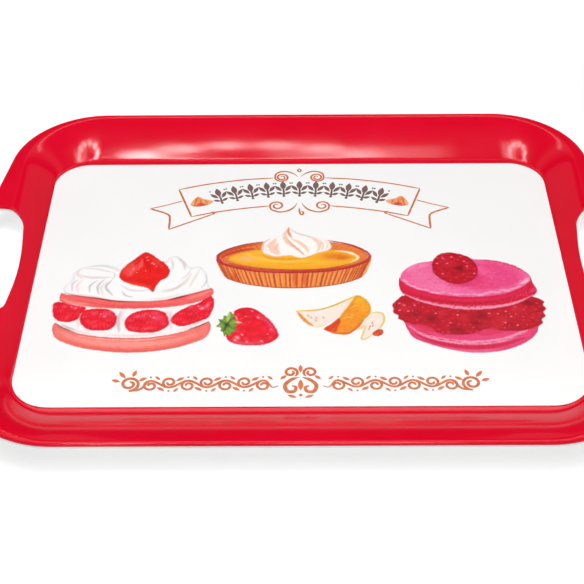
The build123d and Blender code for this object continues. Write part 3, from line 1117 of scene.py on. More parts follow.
    top = [
        (-87.3, 18.5), (-84.2, 16.8), (-80, 12.4), (-75.6, 8), (-73.2, 3.6), (-73, -0.6), (-74.4, -3.8),
        (-77.4, -6.2), (-79.4, -10.4), (-80.9, -15.6), (-84.4, -12.2), (-90, -10), (-96, -7.8),
        (-99.8, -4.6), (-100.8, -0.6), (-99.2, 4.4), (-96, 9.4), (-92.6, 13.4), (-89.8, 17),
    ]
    film.wash(top, (0.94, 0.13, 0.11), pool=0.12)
    film.strokes(
        ([(-98.6, -1), (-96.4, 5), (-92.4, 10.4)], 4.4, (0.97, 0.33, 0.29), 2.4, 0.8),
        ([(-95.8, -4), (-94.2, 2), (-91.4, 7.6)], 3.4, (0.98, 0.48, 0.45), 2.4, 0.7),
        ([(-90.6, 3), (-89.4, 8), (-88.4, 14)], 2.6, (0.98, 0.46, 0.44), 2.0, 0.7),
        ([(-87.2, 12.6), (-85.4, 7), (-83.8, 2)], 3.2, (0.88, 0.05, 0.09), 1.6, 0.85),
        ([(-89, 15.4), (-88, 12.4), (-87.6, 9)], 1.5, (0.9, 0.06, 0.09), 0.8, 0.8),
        ([(-84.4, 14), (-80.4, 10), (-77, 5)], 2.2, (0.96, 0.3, 0.26), 1.4, 0.7),
        ([(-99, -5), (-92, -8.6), (-84, -11), (-81, -14)], 2.2, (0.97, 0.24, 0.15), 1.4, 0.8),
        ([(-92, -6), (-86, -6.6), (-79.6, -4)], 3.0, (0.9, 0.09, 0.09), 1.8, 0.6),
    )
    for x, y, size in (
        (-86.6, 14.2, 0.8), (-85.9, 11.4, 0.7), (-83.2, 9.0, 0.9), (-82.0, 8.0, 0.8), (-80.6, 6.2, 0.6),
        (-86.3, 2.2, 0.5), (-93.4, 4.0, 0.6), (-91.2, 0.8, 0.5),
    ):
        film.dab(x, y, size, size * 0.75, BERRY_SHINE, 0.85, 0.6)
    for x, y in scattered(top, 3.6, 1.6):
        film.dab(x, y, 0.26, 0.7, BERRY_DEEP, 0.55, -0.3, 0.5)
    for x, y, size in ((-92, 9, 2.2), (-79, 2, 3.0), (-84, -8, 2.4), (-95.6, -4.6, 2.6), (-77.6, 9.4, 1.6)):
        film.dab(x, y, size, size * 0.7, (0.86, 0.07, 0.10), 0.55, 0.5)
    film.dab(-93.6, 11.0, 0.5, 1.1, (0.30, 0.33, 0.22), 0.8, -0.8)
    film.dab(-96.6, 8.0, 0.4, 0.8, (0.36, 0.36, 0.24), 0.7, -0.8)
    return Motif(film)


def cream_tart():
    """Fluted tart case with a glossy custard filling and a peak of meringue."""
    rim_dark = (0.62, 0.16, 0.17)
    rim_red = (0.8, 0.24, 0.2)
    case = (0.96, 0.58, 0.29)
    flute = (0.78, 0.32, 0.17)
    centre, reach = np.array((-3.5, 14.4)), np.array((43.8, 14.4))

    def oval(share, shift=(0.0, 0.0)):
        """Loop round the tart's mouth, at a share of its size."""
        return centre + shift + reach * share * circle()

    film = Film([
        (-47.6, 14), (-46.4, 8), (-43.4, 0), (-40.4, -4.8), (-30, -9.6), (-16, -12.4), (-4, -13.2),
        (9, -12.4), (23, -9.6), (33.4, -4.8), (37, 0), (39.6, 8), (40.6, 14.6), (37.4, 20.2), (30, 25),
        (20, 28.2), (14.6, 30.6), (7, 33), (0, 36), (-4.4, 40), (-6.3, 41.4), (-8.2, 38.6), (-11.6, 33.6),
        (-18, 31), (-22, 28.2), (-31, 26), (-41, 21.6), (-46, 17.4),
    ])
    film.wash([
        (-47, 12), (-46, 6), (-43, -1), (-40, -5), (-30, -9.5), (-16, -12.3), (-4, -13), (9, -12.3),
        (23, -9.5), (33, -5), (36.4, -1), (39.4, 7), (39.8, 12), (20, 20), (-28, 20),
    ], case, pool=0.12)
    flutes, foot_share, foot_level, foot_drop = 44, 0.86, -2.6, 10.2
    for index in range(flutes):
        share = -1 + 2 * (index + 0.5 + dice.uniform(-0.2, 0.2)) / flutes
        sideways, forward = math.sin(share * math.pi / 2), math.cos(share * math.pi / 2)
        lip_x = centre[0] + reach[0] * sideways
        lip_y = centre[1] - reach[1] * forward
        foot_x = centre[0] + foot_share * reach[0] * sideways
        foot_y = foot_level - foot_drop * forward
        width = dice.uniform(0.5, 1.0) * (0.5 + 0.5 * forward)
        tone = flute if index % 3 else (0.70, 0.24, 0.15)
        film.stroke(
            [(lip_x, lip_y), ((lip_x + foot_x) / 2, (lip_y + foot_y) / 2), (foot_x, foot_y)], width + 0.35,
            tone, 0.5, 0.85, 0.3)
        film.stroke(
            [(lip_x + 0.8, lip_y - 1), (foot_x + 0.8, foot_y + 0.6)], 0.8, (1.0, 0.72, 0.4), 0.6, 0.6)
    for x in (-36.5, -3.0, 2.4):
        film.stroke([(x, 1), (x + 0.4, -5), (x + 0.8, -11.4)], 3.0, (0.82, 0.28, 0.14), 2.2, 0.5)
    film.stroke(
        [(-41, -4.6), (-30, -9.6), (-16, -12.3), (-4, -13), (9, -12.3), (23, -9.6), (34, -4.6)], 0.9,
        (0.72, 0.2, 0.15), 0.6, 0.9, 0.3)

    film.wash(oval(1.0), rim_red, pool=0.25, pool_width=0.7)
    film.wash(oval(0.965, (0, 0.35)), (0.93, 0.52, 0.26), pool=0.2)
    for share in np.linspace(0.1, 0.9, 26):
        angle = math.pi * share
        outer = centre + reach * 0.97 * (math.cos(angle), math.sin(angle))
        inner = centre + (0, -2.0) + reach * (0.86, 0.66) * (math.cos(angle), math.sin(angle))
        tone = flute if share > 0.6 else (0.87, 0.42, 0.2)
        film.stroke([outer, (outer + inner) / 2, inner], 0.7, tone, 0.6, 0.55)
    film.strokes(
        ([(-45.4, 13), (-42, 18.4), (-33, 23), (-24, 25.4)], 1.6, rim_red, 0.9, 0.8),
        ([(-45, 12), (-41.6, 16), (-33, 20), (-26, 21.4)], 2.4, (0.78, 0.22, 0.13), 1.2, 0.8),
        ([(-46.8, 12), (-43.6, 18.6), (-34, 24.4), (-22.4, 27.6)], 0.9, rim_dark, 0.5, 0.9),
        ([(15.8, 28.6), (26, 25.8), (35, 20.8), (39.6, 15.6)], 1.5, (0.72, 0.2, 0.16), 0.6, 0.9),
        ([(17, 26), (27, 23.2), (34.6, 19)], 2.4, (0.95, 0.55, 0.3), 1.2, 0.8),
    )

    filling = [
        (-40.4, 12.6), (-36, 16.6), (-28, 19.4), (-18, 20.8), (0, 21.4), (16, 20.4), (27, 18.2),
        (33.6, 14.4), (32.6, 10.4), (26, 7), (14, 4.4), (0, 3.4), (-14, 3.8), (-28, 6.2), (-37, 9.2),
    ]
    film.wash(filling, (0.985, 0.73, 0.20), pool=0.10)
    film.strokes(
        ([(-38, 10.6), (-26, 7), (-8, 4.8), (10, 5), (26, 8.2)], 3.4, (0.98, 0.68, 0.12), 2.2, 0.8),
        ([(-30, 17), (-24, 13), (-12, 10.4), (4, 10.6)], 3.2, (1.0, 0.8, 0.3), 2.2, 0.7),
        ([(-20, 9), (-6, 7.6), (8, 8.2)], 1.2, (0.94, 0.6, 0.12), 1.0, 0.5),
        ([(-22, 16.4), (-17, 13), (-9, 12), (-2, 12.4), (6, 14)], 2.2, (0.93, 0.6, 0.14), 1.2, 0.7),
    )
    film.dabs(
        (-30, 12.4, 5.4, 3.0, (0.97, 0.74, 0.52), 0.85),
        (20, 14.6, 9.6, 3.6, (0.93, 0.54, 0.12), 0.95, 0.05),
        (24, 12.8, 5.6, 2.0, (0.86, 0.4, 0.1), 0.7, 0.1),
        (18, 11.6, 3.4, 1.2, (0.96, 0.62, 0.44), 0.6),
    )
    for x, y in scattered([(12, 15), (20, 18), (29, 14), (20, 11)], 1.9, 0.3):
        film.dab(x, y, 0.5, 0.3, (0.82, 0.38, 0.10), 0.5)
    film.strokes(
        ([(20, 19.4), (27, 18), (32, 15), (32.4, 12), (28.6, 9)], 1.7, (0.99, 0.92, 0.8), 0.8, 0.95),
        ([(-46.6, 12.4), (-45.6, 9.4), (-38, 6), (-24, 2.4), (-4, 0.9), (16, 2.2), (30, 6), (37.6, 10),
          (39.8, 15)], 2.3, rim_red, 0.7, 1.0, 0.2),
        ([(-46.4, 10.6), (-38, 5), (-24, 1.3), (-4, 0.1), (16, 1.3), (30, 4.9), (38.6, 10.2)],
         0.7, rim_dark, 0.5, 0.9, 0.2),
        ([(-40, 8.6), (-26, 4.6), (-6, 2.6), (14, 3.4), (28, 7.4)],
         0.6, (0.62, 0.14, 0.12), 0.4, 0.75, 0.2),
        ([(-45.8, 14.6), (-43, 9.8), (-38.6, 7.6)], 1.2, (0.92, 0.47, 0.47), 0.6, 0.85),
        ([(37.2, 18.6), (38.8, 14.8), (37, 11.4)], 1.0, (0.92, 0.55, 0.58), 0.6, 0.75),
        ([(-30, 3.6), (-20, 1.9), (-8, 1.2)], 0.6, (0.93, 0.44, 0.4), 0.5, 0.6),
    )

    cream = (0.99, 0.965, 0.945)
    peach = (0.96, 0.8, 0.71)
    orange = (0.9, 0.58, 0.4)
    shade = (0.9, 0.78, 0.76)
    film.wash([
        (-21.3, 19), (-21.4, 26), (-18, 30.2), (-11.4, 33), (-8, 37.6), (-6.3, 40.9), (-4, 38.2), (1.6, 34),
        (10.4, 31), (16, 28.2), (18, 23), (16, 19.4), (10, 17.4), (3.6, 13.8), (0, 13), (-6, 15.4),
        (-12.6, 14), (-18, 15.4),
    ], cream, 0.6, 0.05)
    for points, width, colour, strength in (
        ([(-13.6, 30.6), (-16.2, 25), (-15, 19), (-11.4, 16.4)], 4.2, peach, 0.9),
        ([(-12.4, 27), (-13.4, 22), (-11.6, 17.6)], 2.0, (0.97, 0.72, 0.6), 0.7),
        ([(-6.3, 40.4), (-8.6, 34), (-7.4, 28), (-2.4, 22), (2.6, 16)], 2.6, peach, 0.95),
        ([(-6.3, 40.6), (-6.4, 36), (-4.6, 31)], 1.6, orange, 0.9),
        ([(-7.4, 31), (-5, 26), (-0.6, 20), (2.6, 15)], 1.0, (0.86, 0.62, 0.54), 0.7),
        ([(-4.6, 30), (0, 26.6), (4, 21), (4.6, 17.6)], 2.4, (0.97, 0.78, 0.68), 0.85),
        ([(-5.4, 39), (-1.6, 35.4), (5, 32.4), (10, 29.8)], 1.2, shade, 0.9),
        ([(6.4, 31.6), (10.6, 27), (11.4, 22.6), (9.6, 18.6)], 2.6, peach, 0.85),
        ([(10.4, 30.4), (13.2, 26), (13, 21), (11.4, 18.6)], 1.0, shade, 0.8),
        ([(14.6, 28.4), (16, 24.6), (14.6, 20)], 1.2, (0.95, 0.83, 0.66), 0.8),
        ([(-21, 20), (-20.6, 26.4), (-17, 30.2)], 0.8, orange, 0.6),
        ([(-20.6, 18), (-15, 14.4), (-8.6, 15)], 0.8, (0.93, 0.66, 0.42), 0.7),
        ([(17.6, 22), (15.4, 19), (9.4, 17)], 0.8, (0.93, 0.7, 0.5), 0.7),
        ([(-18.4, 17.6), (-19.4, 22), (-18.2, 26)], 1.0, shade, 0.5),
    ):
        film.stroke(points, width, colour, 0.8, strength)
    return Motif(film)


def raspberry_macaron():
    """Two pink shells with ruffled feet, raspberries between them and one on top."""
    film = Film([
        (51.4, -24.6), (49.8, -27.2), (50.3, -30.4), (50.0, -33.4), (52.4, -35.8), (52.4, -38.6),
        (55.6, -41), (57, -47.6), (60, -53.8), (68, -58.4), (80, -63), (92, -65.2), (105, -64),
        (116, -59.6), (124.6, -52), (127.2, -45), (130.2, -42.2), (129.8, -39.2), (132.2, -36.8),
        (131.6, -33.6), (133.4, -30.8), (132.2, -27.8), (133, -25), (130.4, -21.8), (130.4, -15.4),
        (128.6, -9), (128.2, -4), (126.6, 0), (120.6, 6), (109, 10.6), (100.2, 11.6), (97, 15),
        (92.4, 17.4), (85, 18), (79, 16.4), (75.4, 12), (66.5, 8.4), (58.6, 3), (55.2, -4.6), (54.6, -14),
        (55, -20),
    ])
    pink, deep, pale = (0.97, 0.43, 0.65), (0.82, 0.10, 0.24), (0.97, 0.64, 0.76)

    film.wash([
        (56, -40), (57.4, -47.6), (60.6, -53.8), (70, -59), (81, -63), (92, -64.9), (105, -63.6),
        (116, -59), (124.4, -51.6), (127.6, -42), (110, -38), (70, -36),
    ], (0.93, 0.28, 0.49), pool=0.12)
    film.strokes(
        ([(60.6, -50), (69, -55.6), (80, -59.4), (93, -60.8), (106, -59), (118, -54)], 3.2, deep, 1.4, 0.8),
        ([(58.4, -44.4), (65, -50.8), (75, -55), (90, -57.4), (105, -55.6), (117, -50), (125.6, -43)],
         3.2, pale, 1.0, 0.95),
        ([(66, -58), (78, -62.2), (92, -64), (106, -62.4)], 2.2, (0.96, 0.47, 0.64), 1.4, 0.7),
    )
    for share in np.linspace(0.06, 0.94, 34):
        x = 58.6 + 67 * share + dice.uniform(-0.6, 0.6)
        y = -44.4 - 13.6 * math.sin(math.pi * share) ** 0.8 + dice.uniform(-0.7, 0.7)
        length = dice.uniform(0.8, 1.8)
        tone = deep if dice.random() < 0.5 else (0.88, 0.34, 0.52)
        film.dab(x, y, length, 0.45, tone, 0.65, 0.0, 0.3)

    layer = [
        (55.8, -20), (51.8, -24.4), (50.2, -27.2), (50.7, -30.4), (50.4, -33.4), (52.8, -35.8),
        (52.8, -38.4), (56, -40.6), (61, -43), (66, -46.6), (74, -49.6), (83.5, -51), (92, -50),
        (99, -46.6), (107, -48), (119, -48), (126.6, -44.4), (129.8, -42), (129.4, -39.2), (131.8, -36.6),
        (131.2, -33.6), (133, -30.8), (131.8, -27.8), (132.6, -25), (130, -22.4), (120, -20), (90, -24),
        (64, -19),
    ]
    paint_raspberry(film, layer)
    for x, y, size in (
        (70, -38, 4.4), (97.4, -36, 4.0), (94, -42, 3.2), (62, -35, 3.0), (124, -26, 3.6), (84, -47, 4.0),
    ):
        film.dab(x, y, size, size * 0.8, (0.52, 0.06, 0.11), 0.7)
    for x, y, size in (
        (56, -30, 3.6), (76, -34, 4.0), (108, -38, 4.6), (118, -31, 4.6), (88, -38, 3.6), (104, -45, 3.6),
    ):
        film.dab(x, y, size, size * 0.8, (0.88, 0.20, 0.26), 0.5)
    for x, y in (
        (54, -26), (56.6, -27.6), (53.8, -31.6), (58.4, -32.4), (62.2, -27.6), (73, -34.2), (84.8, -35.6),
        (80.4, -41.8), (101.8, -34.4), (106.6, -34.8), (111, -33), (113.4, -37), (109.8, -42), (116, -44),
    ):
        film.dab(x, y, 0.85, 0.6, (1.0, 0.66, 0.70), 0.8, 0.4, 0.2)
        film.dab(x + 0.5, y - 1.0, 1.2, 0.5, (0.56, 0.05, 0.12), 0.6)
    film.wash(
        [(62, -43), (68, -44.4), (72, -48.4), (68, -50), (61.6, -47)], (0.92, 0.25, 0.42), 1.2, 0.05,
        strength=0.8)
    film.wash(
        [(98, -47.6), (103, -46), (107, -49), (100, -51.6), (94, -50.8)], (0.91, 0.2, 0.38), 1.4, 0.05,
        strength=0.8)

    film.wash([
        (55.2, -4.8), (54.9, -13), (57, -18.6), (64, -23.6), (75.8, -28.4), (91.2, -30.9), (107, -29.6),
        (120, -25.4), (128.6, -19), (130, -14), (128.2, -4.6), (110, -10), (75, -10),
    ], (0.86, 0.12, 0.26), pool=0.1)
    film.stroke(
        [(56.4, -17.6), (64, -23), (76, -27.6), (91, -30), (107, -28.8), (119, -25), (127.6, -19.4)], 2.6,
        pale, 0.9, 0.95)
    film.stroke([(125.6, -17.4), (129, -14.6), (129.4, -11)], 2.6, (0.90, 0.25, 0.45), 1.0, 0.85)
    for share in np.linspace(0.05, 0.95, 40):
        x = 57 + 71 * share + dice.uniform(-0.6, 0.6)
        y = -17.2 - 12.0 * math.sin(math.pi * share) ** 0.8 + dice.uniform(-0.8, 0.9)
        length = dice.uniform(0.5, 1.4)
        height = dice.uniform(0.3, 0.6)
        tone = deep if dice.random() < 0.55 else (0.9, 0.42, 0.58)
        film.dab(x, y, length, height, tone, 0.7, 0.3, 0.3)
        if share > 0.25:
            film.dab(x, y + 2.0, 0.45, 0.7, (0.95, 0.52, 0.66), 0.6, 0.2)
    film.strokes(
        ([(56.4, -9.6), (62, -15.6), (74, -20.6), (90, -23.6), (106, -22.4), (118, -18.2), (127.4, -10)],
         2.0, (0.9, 0.16, 0.38), 1.6, 0.8),
        ([(60, -18), (72, -23.4), (90, -26.4), (106, -25.2), (119, -20.8)],
         1.6, (0.76, 0.07, 0.16), 1.2, 0.7),
    )

    face = [
        (55.6, -4.8), (58.8, 2.2), (66.5, 7.6), (76, 10), (88, 11.2), (98.8, 11), (109, 10), (120.2, 5.4),
        (126.4, -0.8), (128, -4.8), (124.6, -11), (116, -16.6), (106.5, -19.8), (91.2, -21), (75.8, -18.8),
        (64.2, -14), (57.6, -9),
    ]
    film.wash(face, pink, pool=0.06)
    film.stroke([(100, 7), (112, 2), (116, -6), (106, -13), (96, -14)], 13.0, (0.93, 0.27, 0.50), 6.0, 0.75)
    film.dab(98, -6, 9, 6, (0.90, 0.15, 0.40), 0.75)
    film.dab(112, -1, 7, 4.5, (0.92, 0.30, 0.56), 0.6)
    film.stroke([(60, 1), (64, 5), (72, 6.6)], 5.0, (0.98, 0.56, 0.74), 3.0, 0.8)
    film.dabs(
        (66, -3, 7, 5, (0.97, 0.5, 0.69), 0.8),
        (77, -11.6, 9, 4.4, (0.98, 0.52, 0.7), 0.85, -0.3),
        (73, 1, 2.6, 4, (0.93, 0.48, 0.66), 0.5),
    )
    for share in np.linspace(0.0, 1.0, 30):
        angle = math.pi * (1.06 + 0.92 * share)
        x, y = 91.6 + 34.4 * math.cos(angle), -4.6 + 14.4 * math.sin(angle)
        size = dice.uniform(1.4, 3.0)
        y += dice.uniform(-0.6, 1.4)
        film.dab(x, y, size, 0.4 * size, (1.0, 0.76, 0.87), 0.8, 0.9 * share - 0.45)
    film.stroke(
        [(62, -9), (74, -14.4), (90, -16.6), (106, -15.4), (118, -10.6)],
        2.6, (0.97, 0.56, 0.74), 2.4, 0.35)
    for x, y in scattered(face, 3.4, 1.5):
        tone = (0.98, 0.56, 0.72) if dice.random() < 0.5 else (0.88, 0.22, 0.46)
        film.dab(x, y, 1.1, 0.7, tone, 0.22)
    film.stroke([(99, 10.6), (110, 9.4), (120.4, 4.6), (127, -2)], 0.7, (0.80, 0.10, 0.28), 0.5, 0.6)

    top = [
        (79.4, 15.8), (84.6, 17.2), (89.4, 16.2), (94.4, 13.8), (97.8, 9.4), (99.4, 3.4), (98.6, -2.4),
        (95.4, -7), (90.6, -9.6), (83.8, -9.4), (78.6, -6), (75, -1), (74.2, 5), (75.6, 11.4),
    ]
    film.dab(90, -10.4, 9, 2.4, (0.82, 0.10, 0.32), 0.5)
    paint_raspberry(film, top, 2.9, 0.2)
    film.dab(89.4, 3.4, 2.6, 2.6, (0.42, 0.06, 0.09), 0.85)
    film.dab(84, 8, 5, 4, (0.86, 0.17, 0.23), 0.4)
    for x, y in (
        (80.8, 12.2), (85.6, 13.2), (82.8, 7.6), (77.2, 7.6), (92.4, 9.4), (97.2, -1.2), (79.6, -1.4),
        (93.6, 5.2),
    ):
        film.dab(x, y, 0.8, 0.55, (1.0, 0.70, 0.74), 0.8, 0.4, 0.2)
    return Motif(film)


def single_strawberry():
    """Strawberry lying on its side, with its leaves to the left."""
    fruit = [
        (-35.7, -32), (-32.4, -29.5), (-29, -28.9), (-25, -30), (-20.3, -34.2), (-15.8, -40.2),
        (-12.8, -46.2), (-11.7, -51), (-13.7, -55), (-19, -57.9), (-26.3, -58.6), (-33.6, -57.6),
        (-38.2, -54.6), (-39.2, -50), (-36, -42),
    ]
    film = Film([
        (-38.2, -31.8), (-35.6, -31.4), (-32.4, -29), (-29, -28.4), (-24.6, -29.6), (-19.8, -34),
        (-15.2, -40), (-12.2, -46), (-11.2, -51), (-13.2, -55.4), (-19, -58.5), (-26.3, -59.2),
        (-34, -58.2), (-38.8, -55.2), (-41.2, -52), (-42.8, -47.6), (-45.2, -43.6), (-44.4, -38),
        (-41.4, -35),
    ], pitch=0.36)
    paint_strawberry(film, fruit, 2.4, (0.97, 0.06, 0.18))
    film.dab(-24, -46, 7.5, 7, (0.95, 0.03, 0.14), 0.7)
    film.dab(-31, -33.4, 3.4, 2.6, (0.86, 0.05, 0.11), 0.6)
    film.stroke([(-22, -34.6), (-16.6, -42), (-13.4, -50)], 2.4, (0.95, 0.30, 0.42), 1.8, 0.75)
    film.stroke([(-36.6, -55.4), (-30, -57.2), (-22, -57)], 2.4, (0.97, 0.38, 0.46), 1.6, 0.7)
    for x, y, reach in (
        (-22.6, -37, 1.2), (-33.4, -52.6, 1.8), (-31, -50.4, 1.0), (-34.6, -54.6, 1.2), (-26, -31.8, 0.8),
        (-20.6, -55.4, 1.1), (-28.2, -56, 0.9), (-15.6, -46.6, 0.8), (-17.4, -50, 0.6), (-29.4, -36, 0.6),
    ):
        film.dab(x, y, reach, reach * 0.7, (1.0, 0.82, 0.86), 0.85, -0.8)
    film.wash([
        (-38, -32.2), (-36.4, -34), (-34.8, -35.4), (-35.6, -37.6), (-34, -39.8), (-35, -41.4),
        (-33, -42.6), (-35, -44.6), (-34.2, -47.8), (-36, -48.4), (-37.6, -51.8), (-39.2, -49.6),
        (-40.4, -51.6), (-41.2, -48.2), (-42.4, -47.4), (-42.2, -45.2), (-44.9, -43.8), (-43.2, -41.4),
        (-43.8, -38.4), (-41.6, -38.2), (-41, -35.6), (-39.2, -35.6),
    ], (0.52, 0.66, 0.26), 0.4, 0.25, 0.6)
    for points, width, colour in (
        ([(-38.2, -32.6), (-38.6, -36), (-39.2, -40)], 1.6, (0.72, 0.8, 0.44)),
        ([(-43.4, -38.6), (-41.6, -40.4), (-39.8, -42)], 1.4, (0.36, 0.52, 0.22)),
        ([(-44.6, -43.7), (-42, -43.6), (-39.8, -43)], 1.5, (0.58, 0.7, 0.4)),
        ([(-41, -48), (-40.2, -45.8), (-39.6, -43.8)], 1.5, (0.26, 0.42, 0.2)),
        ([(-37.6, -51.4), (-38.2, -47.6), (-38.8, -44.4)], 1.6, (0.48, 0.64, 0.16)),
        ([(-34.2, -47), (-36.4, -45.2), (-38.4, -43.6)], 1.4, (0.38, 0.56, 0.18)),
        ([(-34.2, -39.8), (-36.4, -41), (-38.4, -42.2)], 1.4, (0.56, 0.7, 0.24)),
        ([(-35.2, -35.8), (-37, -38.6), (-38.8, -41.4)], 1.2, (0.34, 0.5, 0.2)),
    ):
        film.stroke(points, width, colour, 0.5, 0.9)
    film.dab(-39.3, -42.7, 1.8, 2.1, (0.16, 0.26, 0.17), 0.95)
    film.stroke([(-35, -40.6), (-33, -40.8), (-31.4, -41)], 1.6, (0.95, 0.78, 0.62), 0.6, 0.9)
    film.stroke([(-35, -35.4), (-34.2, -37.6), (-33.8, -40)], 1.1, (0.98, 0.70, 0.62), 0.6, 0.8)
    return Motif(film)


def fruit_slices():
    """Two pale slices of fruit with yellow rinds round an orange wedge, and a drop of jam."""
    rind, flesh, seed = (0.93, 0.74, 0.24), (0.965, 0.90, 0.845), (0.72, 0.48, 0.40)
    film = Film([
        (-2.6, -32), (-0.4, -31.2), (9.6, -30.2), (17, -27.4), (25, -22.4), (31, -18.8), (35.2, -21.2),
        (38.4, -26.6), (38.8, -32.6), (42.4, -32.6), (45.4, -34.8), (45.6, -40.2), (43.6, -46),
        (44.8, -47.6), (44.4, -50.4), (41, -52.6), (38.4, -52), (33.6, -55.2), (31.6, -53.8), (33, -47.8),
        (29.8, -47), (25, -50.8), (18, -50.2), (12, -46.6), (5.8, -44.8), (1.2, -40), (-2.4, -34),
    ], pitch=0.36)
    film.wash([
        (-2, -32), (-0.3, -31.7), (9.7, -30.8), (17, -28), (25, -23), (30.6, -19.6), (25, -31), (16, -41),
        (11.7, -44.2), (6.3, -44.2), (1.7, -39.7), (-1.6, -34),
    ], flesh, pool=0.03)
    film.strokes(
        ([(-1.8, -31.8), (9.7, -30.9), (17, -28.1), (25, -23.1), (31, -19.5)], 1.3, rind, 0.5, 0.95, 0.2),
        ([(9, -31), (17, -28.4), (25, -23.4)], 0.5, (0.72, 0.62, 0.22), 0.4, 0.7),
        ([(-1.6, -32.2), (1, -37), (4, -41.2), (7.2, -44)], 1.9, (0.93, 0.56, 0.18), 0.6, 0.95),
        ([(6.4, -44.2), (10, -44.4), (13.4, -43)], 0.9, (0.95, 0.84, 0.58), 0.5, 0.8),
        ([(3, -34), (10, -33), (20, -28)], 1.6, (0.97, 0.94, 0.93), 1.0, 0.7),
    )
    for x, y in ((5.8, -37.2), (8.6, -37.4), (12.4, -37.2), (8.2, -39.4), (4.2, -35.6)):
        film.dab(x, y, 0.55, 0.9, seed, 0.6, 0.4, 0.3)
        film.dab(x + 0.9, y - 0.4, 0.6, 0.9, (0.96, 0.78, 0.72), 0.6)

    wedge = [
        (31, -19.4), (35, -21.8), (37.8, -27), (37.8, -33.6), (34, -39.6), (30, -46), (25, -50),
        (18.4, -49.6), (12.6, -46.4), (16, -42.6), (20.4, -38.2), (24.4, -31), (27.8, -24.8),
    ]
    film.wash(wedge, (0.96, 0.60, 0.15), pool=0.10)
    film.dabs(
        (32.4, -23.6, 4, 3.6, (0.97, 0.74, 0.16), 0.9),
        (35, -30, 3.4, 6, (0.97, 0.69, 0.14), 0.8),
        (23.4, -45, 4.6, 3.6, (0.95, 0.54, 0.1), 0.7),
    )
    film.wash(
        [(12.8, -46.4), (17, -42), (20.8, -37.6), (21.4, -41), (20, -45), (18.6, -48.4)], (0.9, 0.27, 0.12),
        0.9, 0.1)
    film.stroke(
        [(13, -46.8), (18.4, -49.4), (25, -49.8), (30, -45.8), (33.6, -39.8)], 1.4, (0.9, 0.36, 0.1), 0.8,
        0.9, 0.3)
    film.stroke([(21, -38), (24.6, -31.6), (27.8, -25.4), (30.4, -20.6)], 0.8, (0.93, 0.66, 0.20), 0.5, 0.8)
    for points in (
        [(22.6, -36), (26, -34.4), (29.6, -35.6)], [(22, -39), (25.6, -37), (30, -38.4)],
        [(27, -30), (30, -27.6), (33, -28)],
    ):
        film.stroke(points, 0.7, (0.99, 0.78, 0.36), 0.5, 0.8)
    for x, y in scattered(wedge, 2.6, 0.8):
        tone = (0.9, 0.42, 0.1) if dice.random() < 0.5 else (0.99, 0.76, 0.3)
        film.dab(x, y, 0.8, 0.5, tone, 0.35, 0.6)

    film.wash([
        (42.2, -33.2), (44.8, -35), (45, -40.2), (42.2, -46.2), (38.2, -51.6), (33.8, -54.6), (32.2, -53.4),
        (34, -47.4), (30.4, -47), (33.6, -42), (37, -36.6),
    ], flesh, pool=0.03)
    film.strokes(
        ([(38.6, -33.9), (42.4, -33.1), (44.9, -35.4), (44.9, -40.4), (42.3, -46)],
         1.1, (0.9, 0.76, 0.36), 0.5, 0.95, 0.25),
        ([(38, -51.4), (33.9, -54.5), (32.3, -53.4), (34, -47.6), (35, -44.6)],
         0.9, (0.9, 0.78, 0.42), 0.5, 0.9, 0.25),
        ([(29.6, -46.8), (33.4, -45), (35.2, -42.8)], 1.6, (0.96, 0.8, 0.52), 0.8, 0.85),
        ([(42.2, -46.2), (40.4, -49), (38.4, -51.2)], 0.8, (0.94, 0.66, 0.28), 0.5, 0.8),
    )
    for x, y in ((38.6, -41.4), (37.2, -44.4), (38.8, -43.8), (36.6, -46.4)):
        film.dab(x, y, 0.4, 1.1, seed, 0.8, -0.3, 0.4)
    film.wash(
        [(39.4, -48.4), (42.6, -46.6), (44.2, -48.2), (43.4, -50.6), (40.8, -52), (38.4, -50.8)],
        (0.88, 0.29, 0.14), 0.5, 0.2)
    film.dab(40.2, -50.6, 1.4, 0.9, (0.96, 0.52, 0.20), 0.7)
    film.dab(42.4, -48.2, 0.8, 0.6, (0.95, 0.50, 0.38), 0.7)
    return Motif(film)


# ---- the drawn ornaments ----
PEN_ORANGE = (0.85, 0.46, 0.22)
PEN_BROWN = (0.49, 0.40, 0.38)


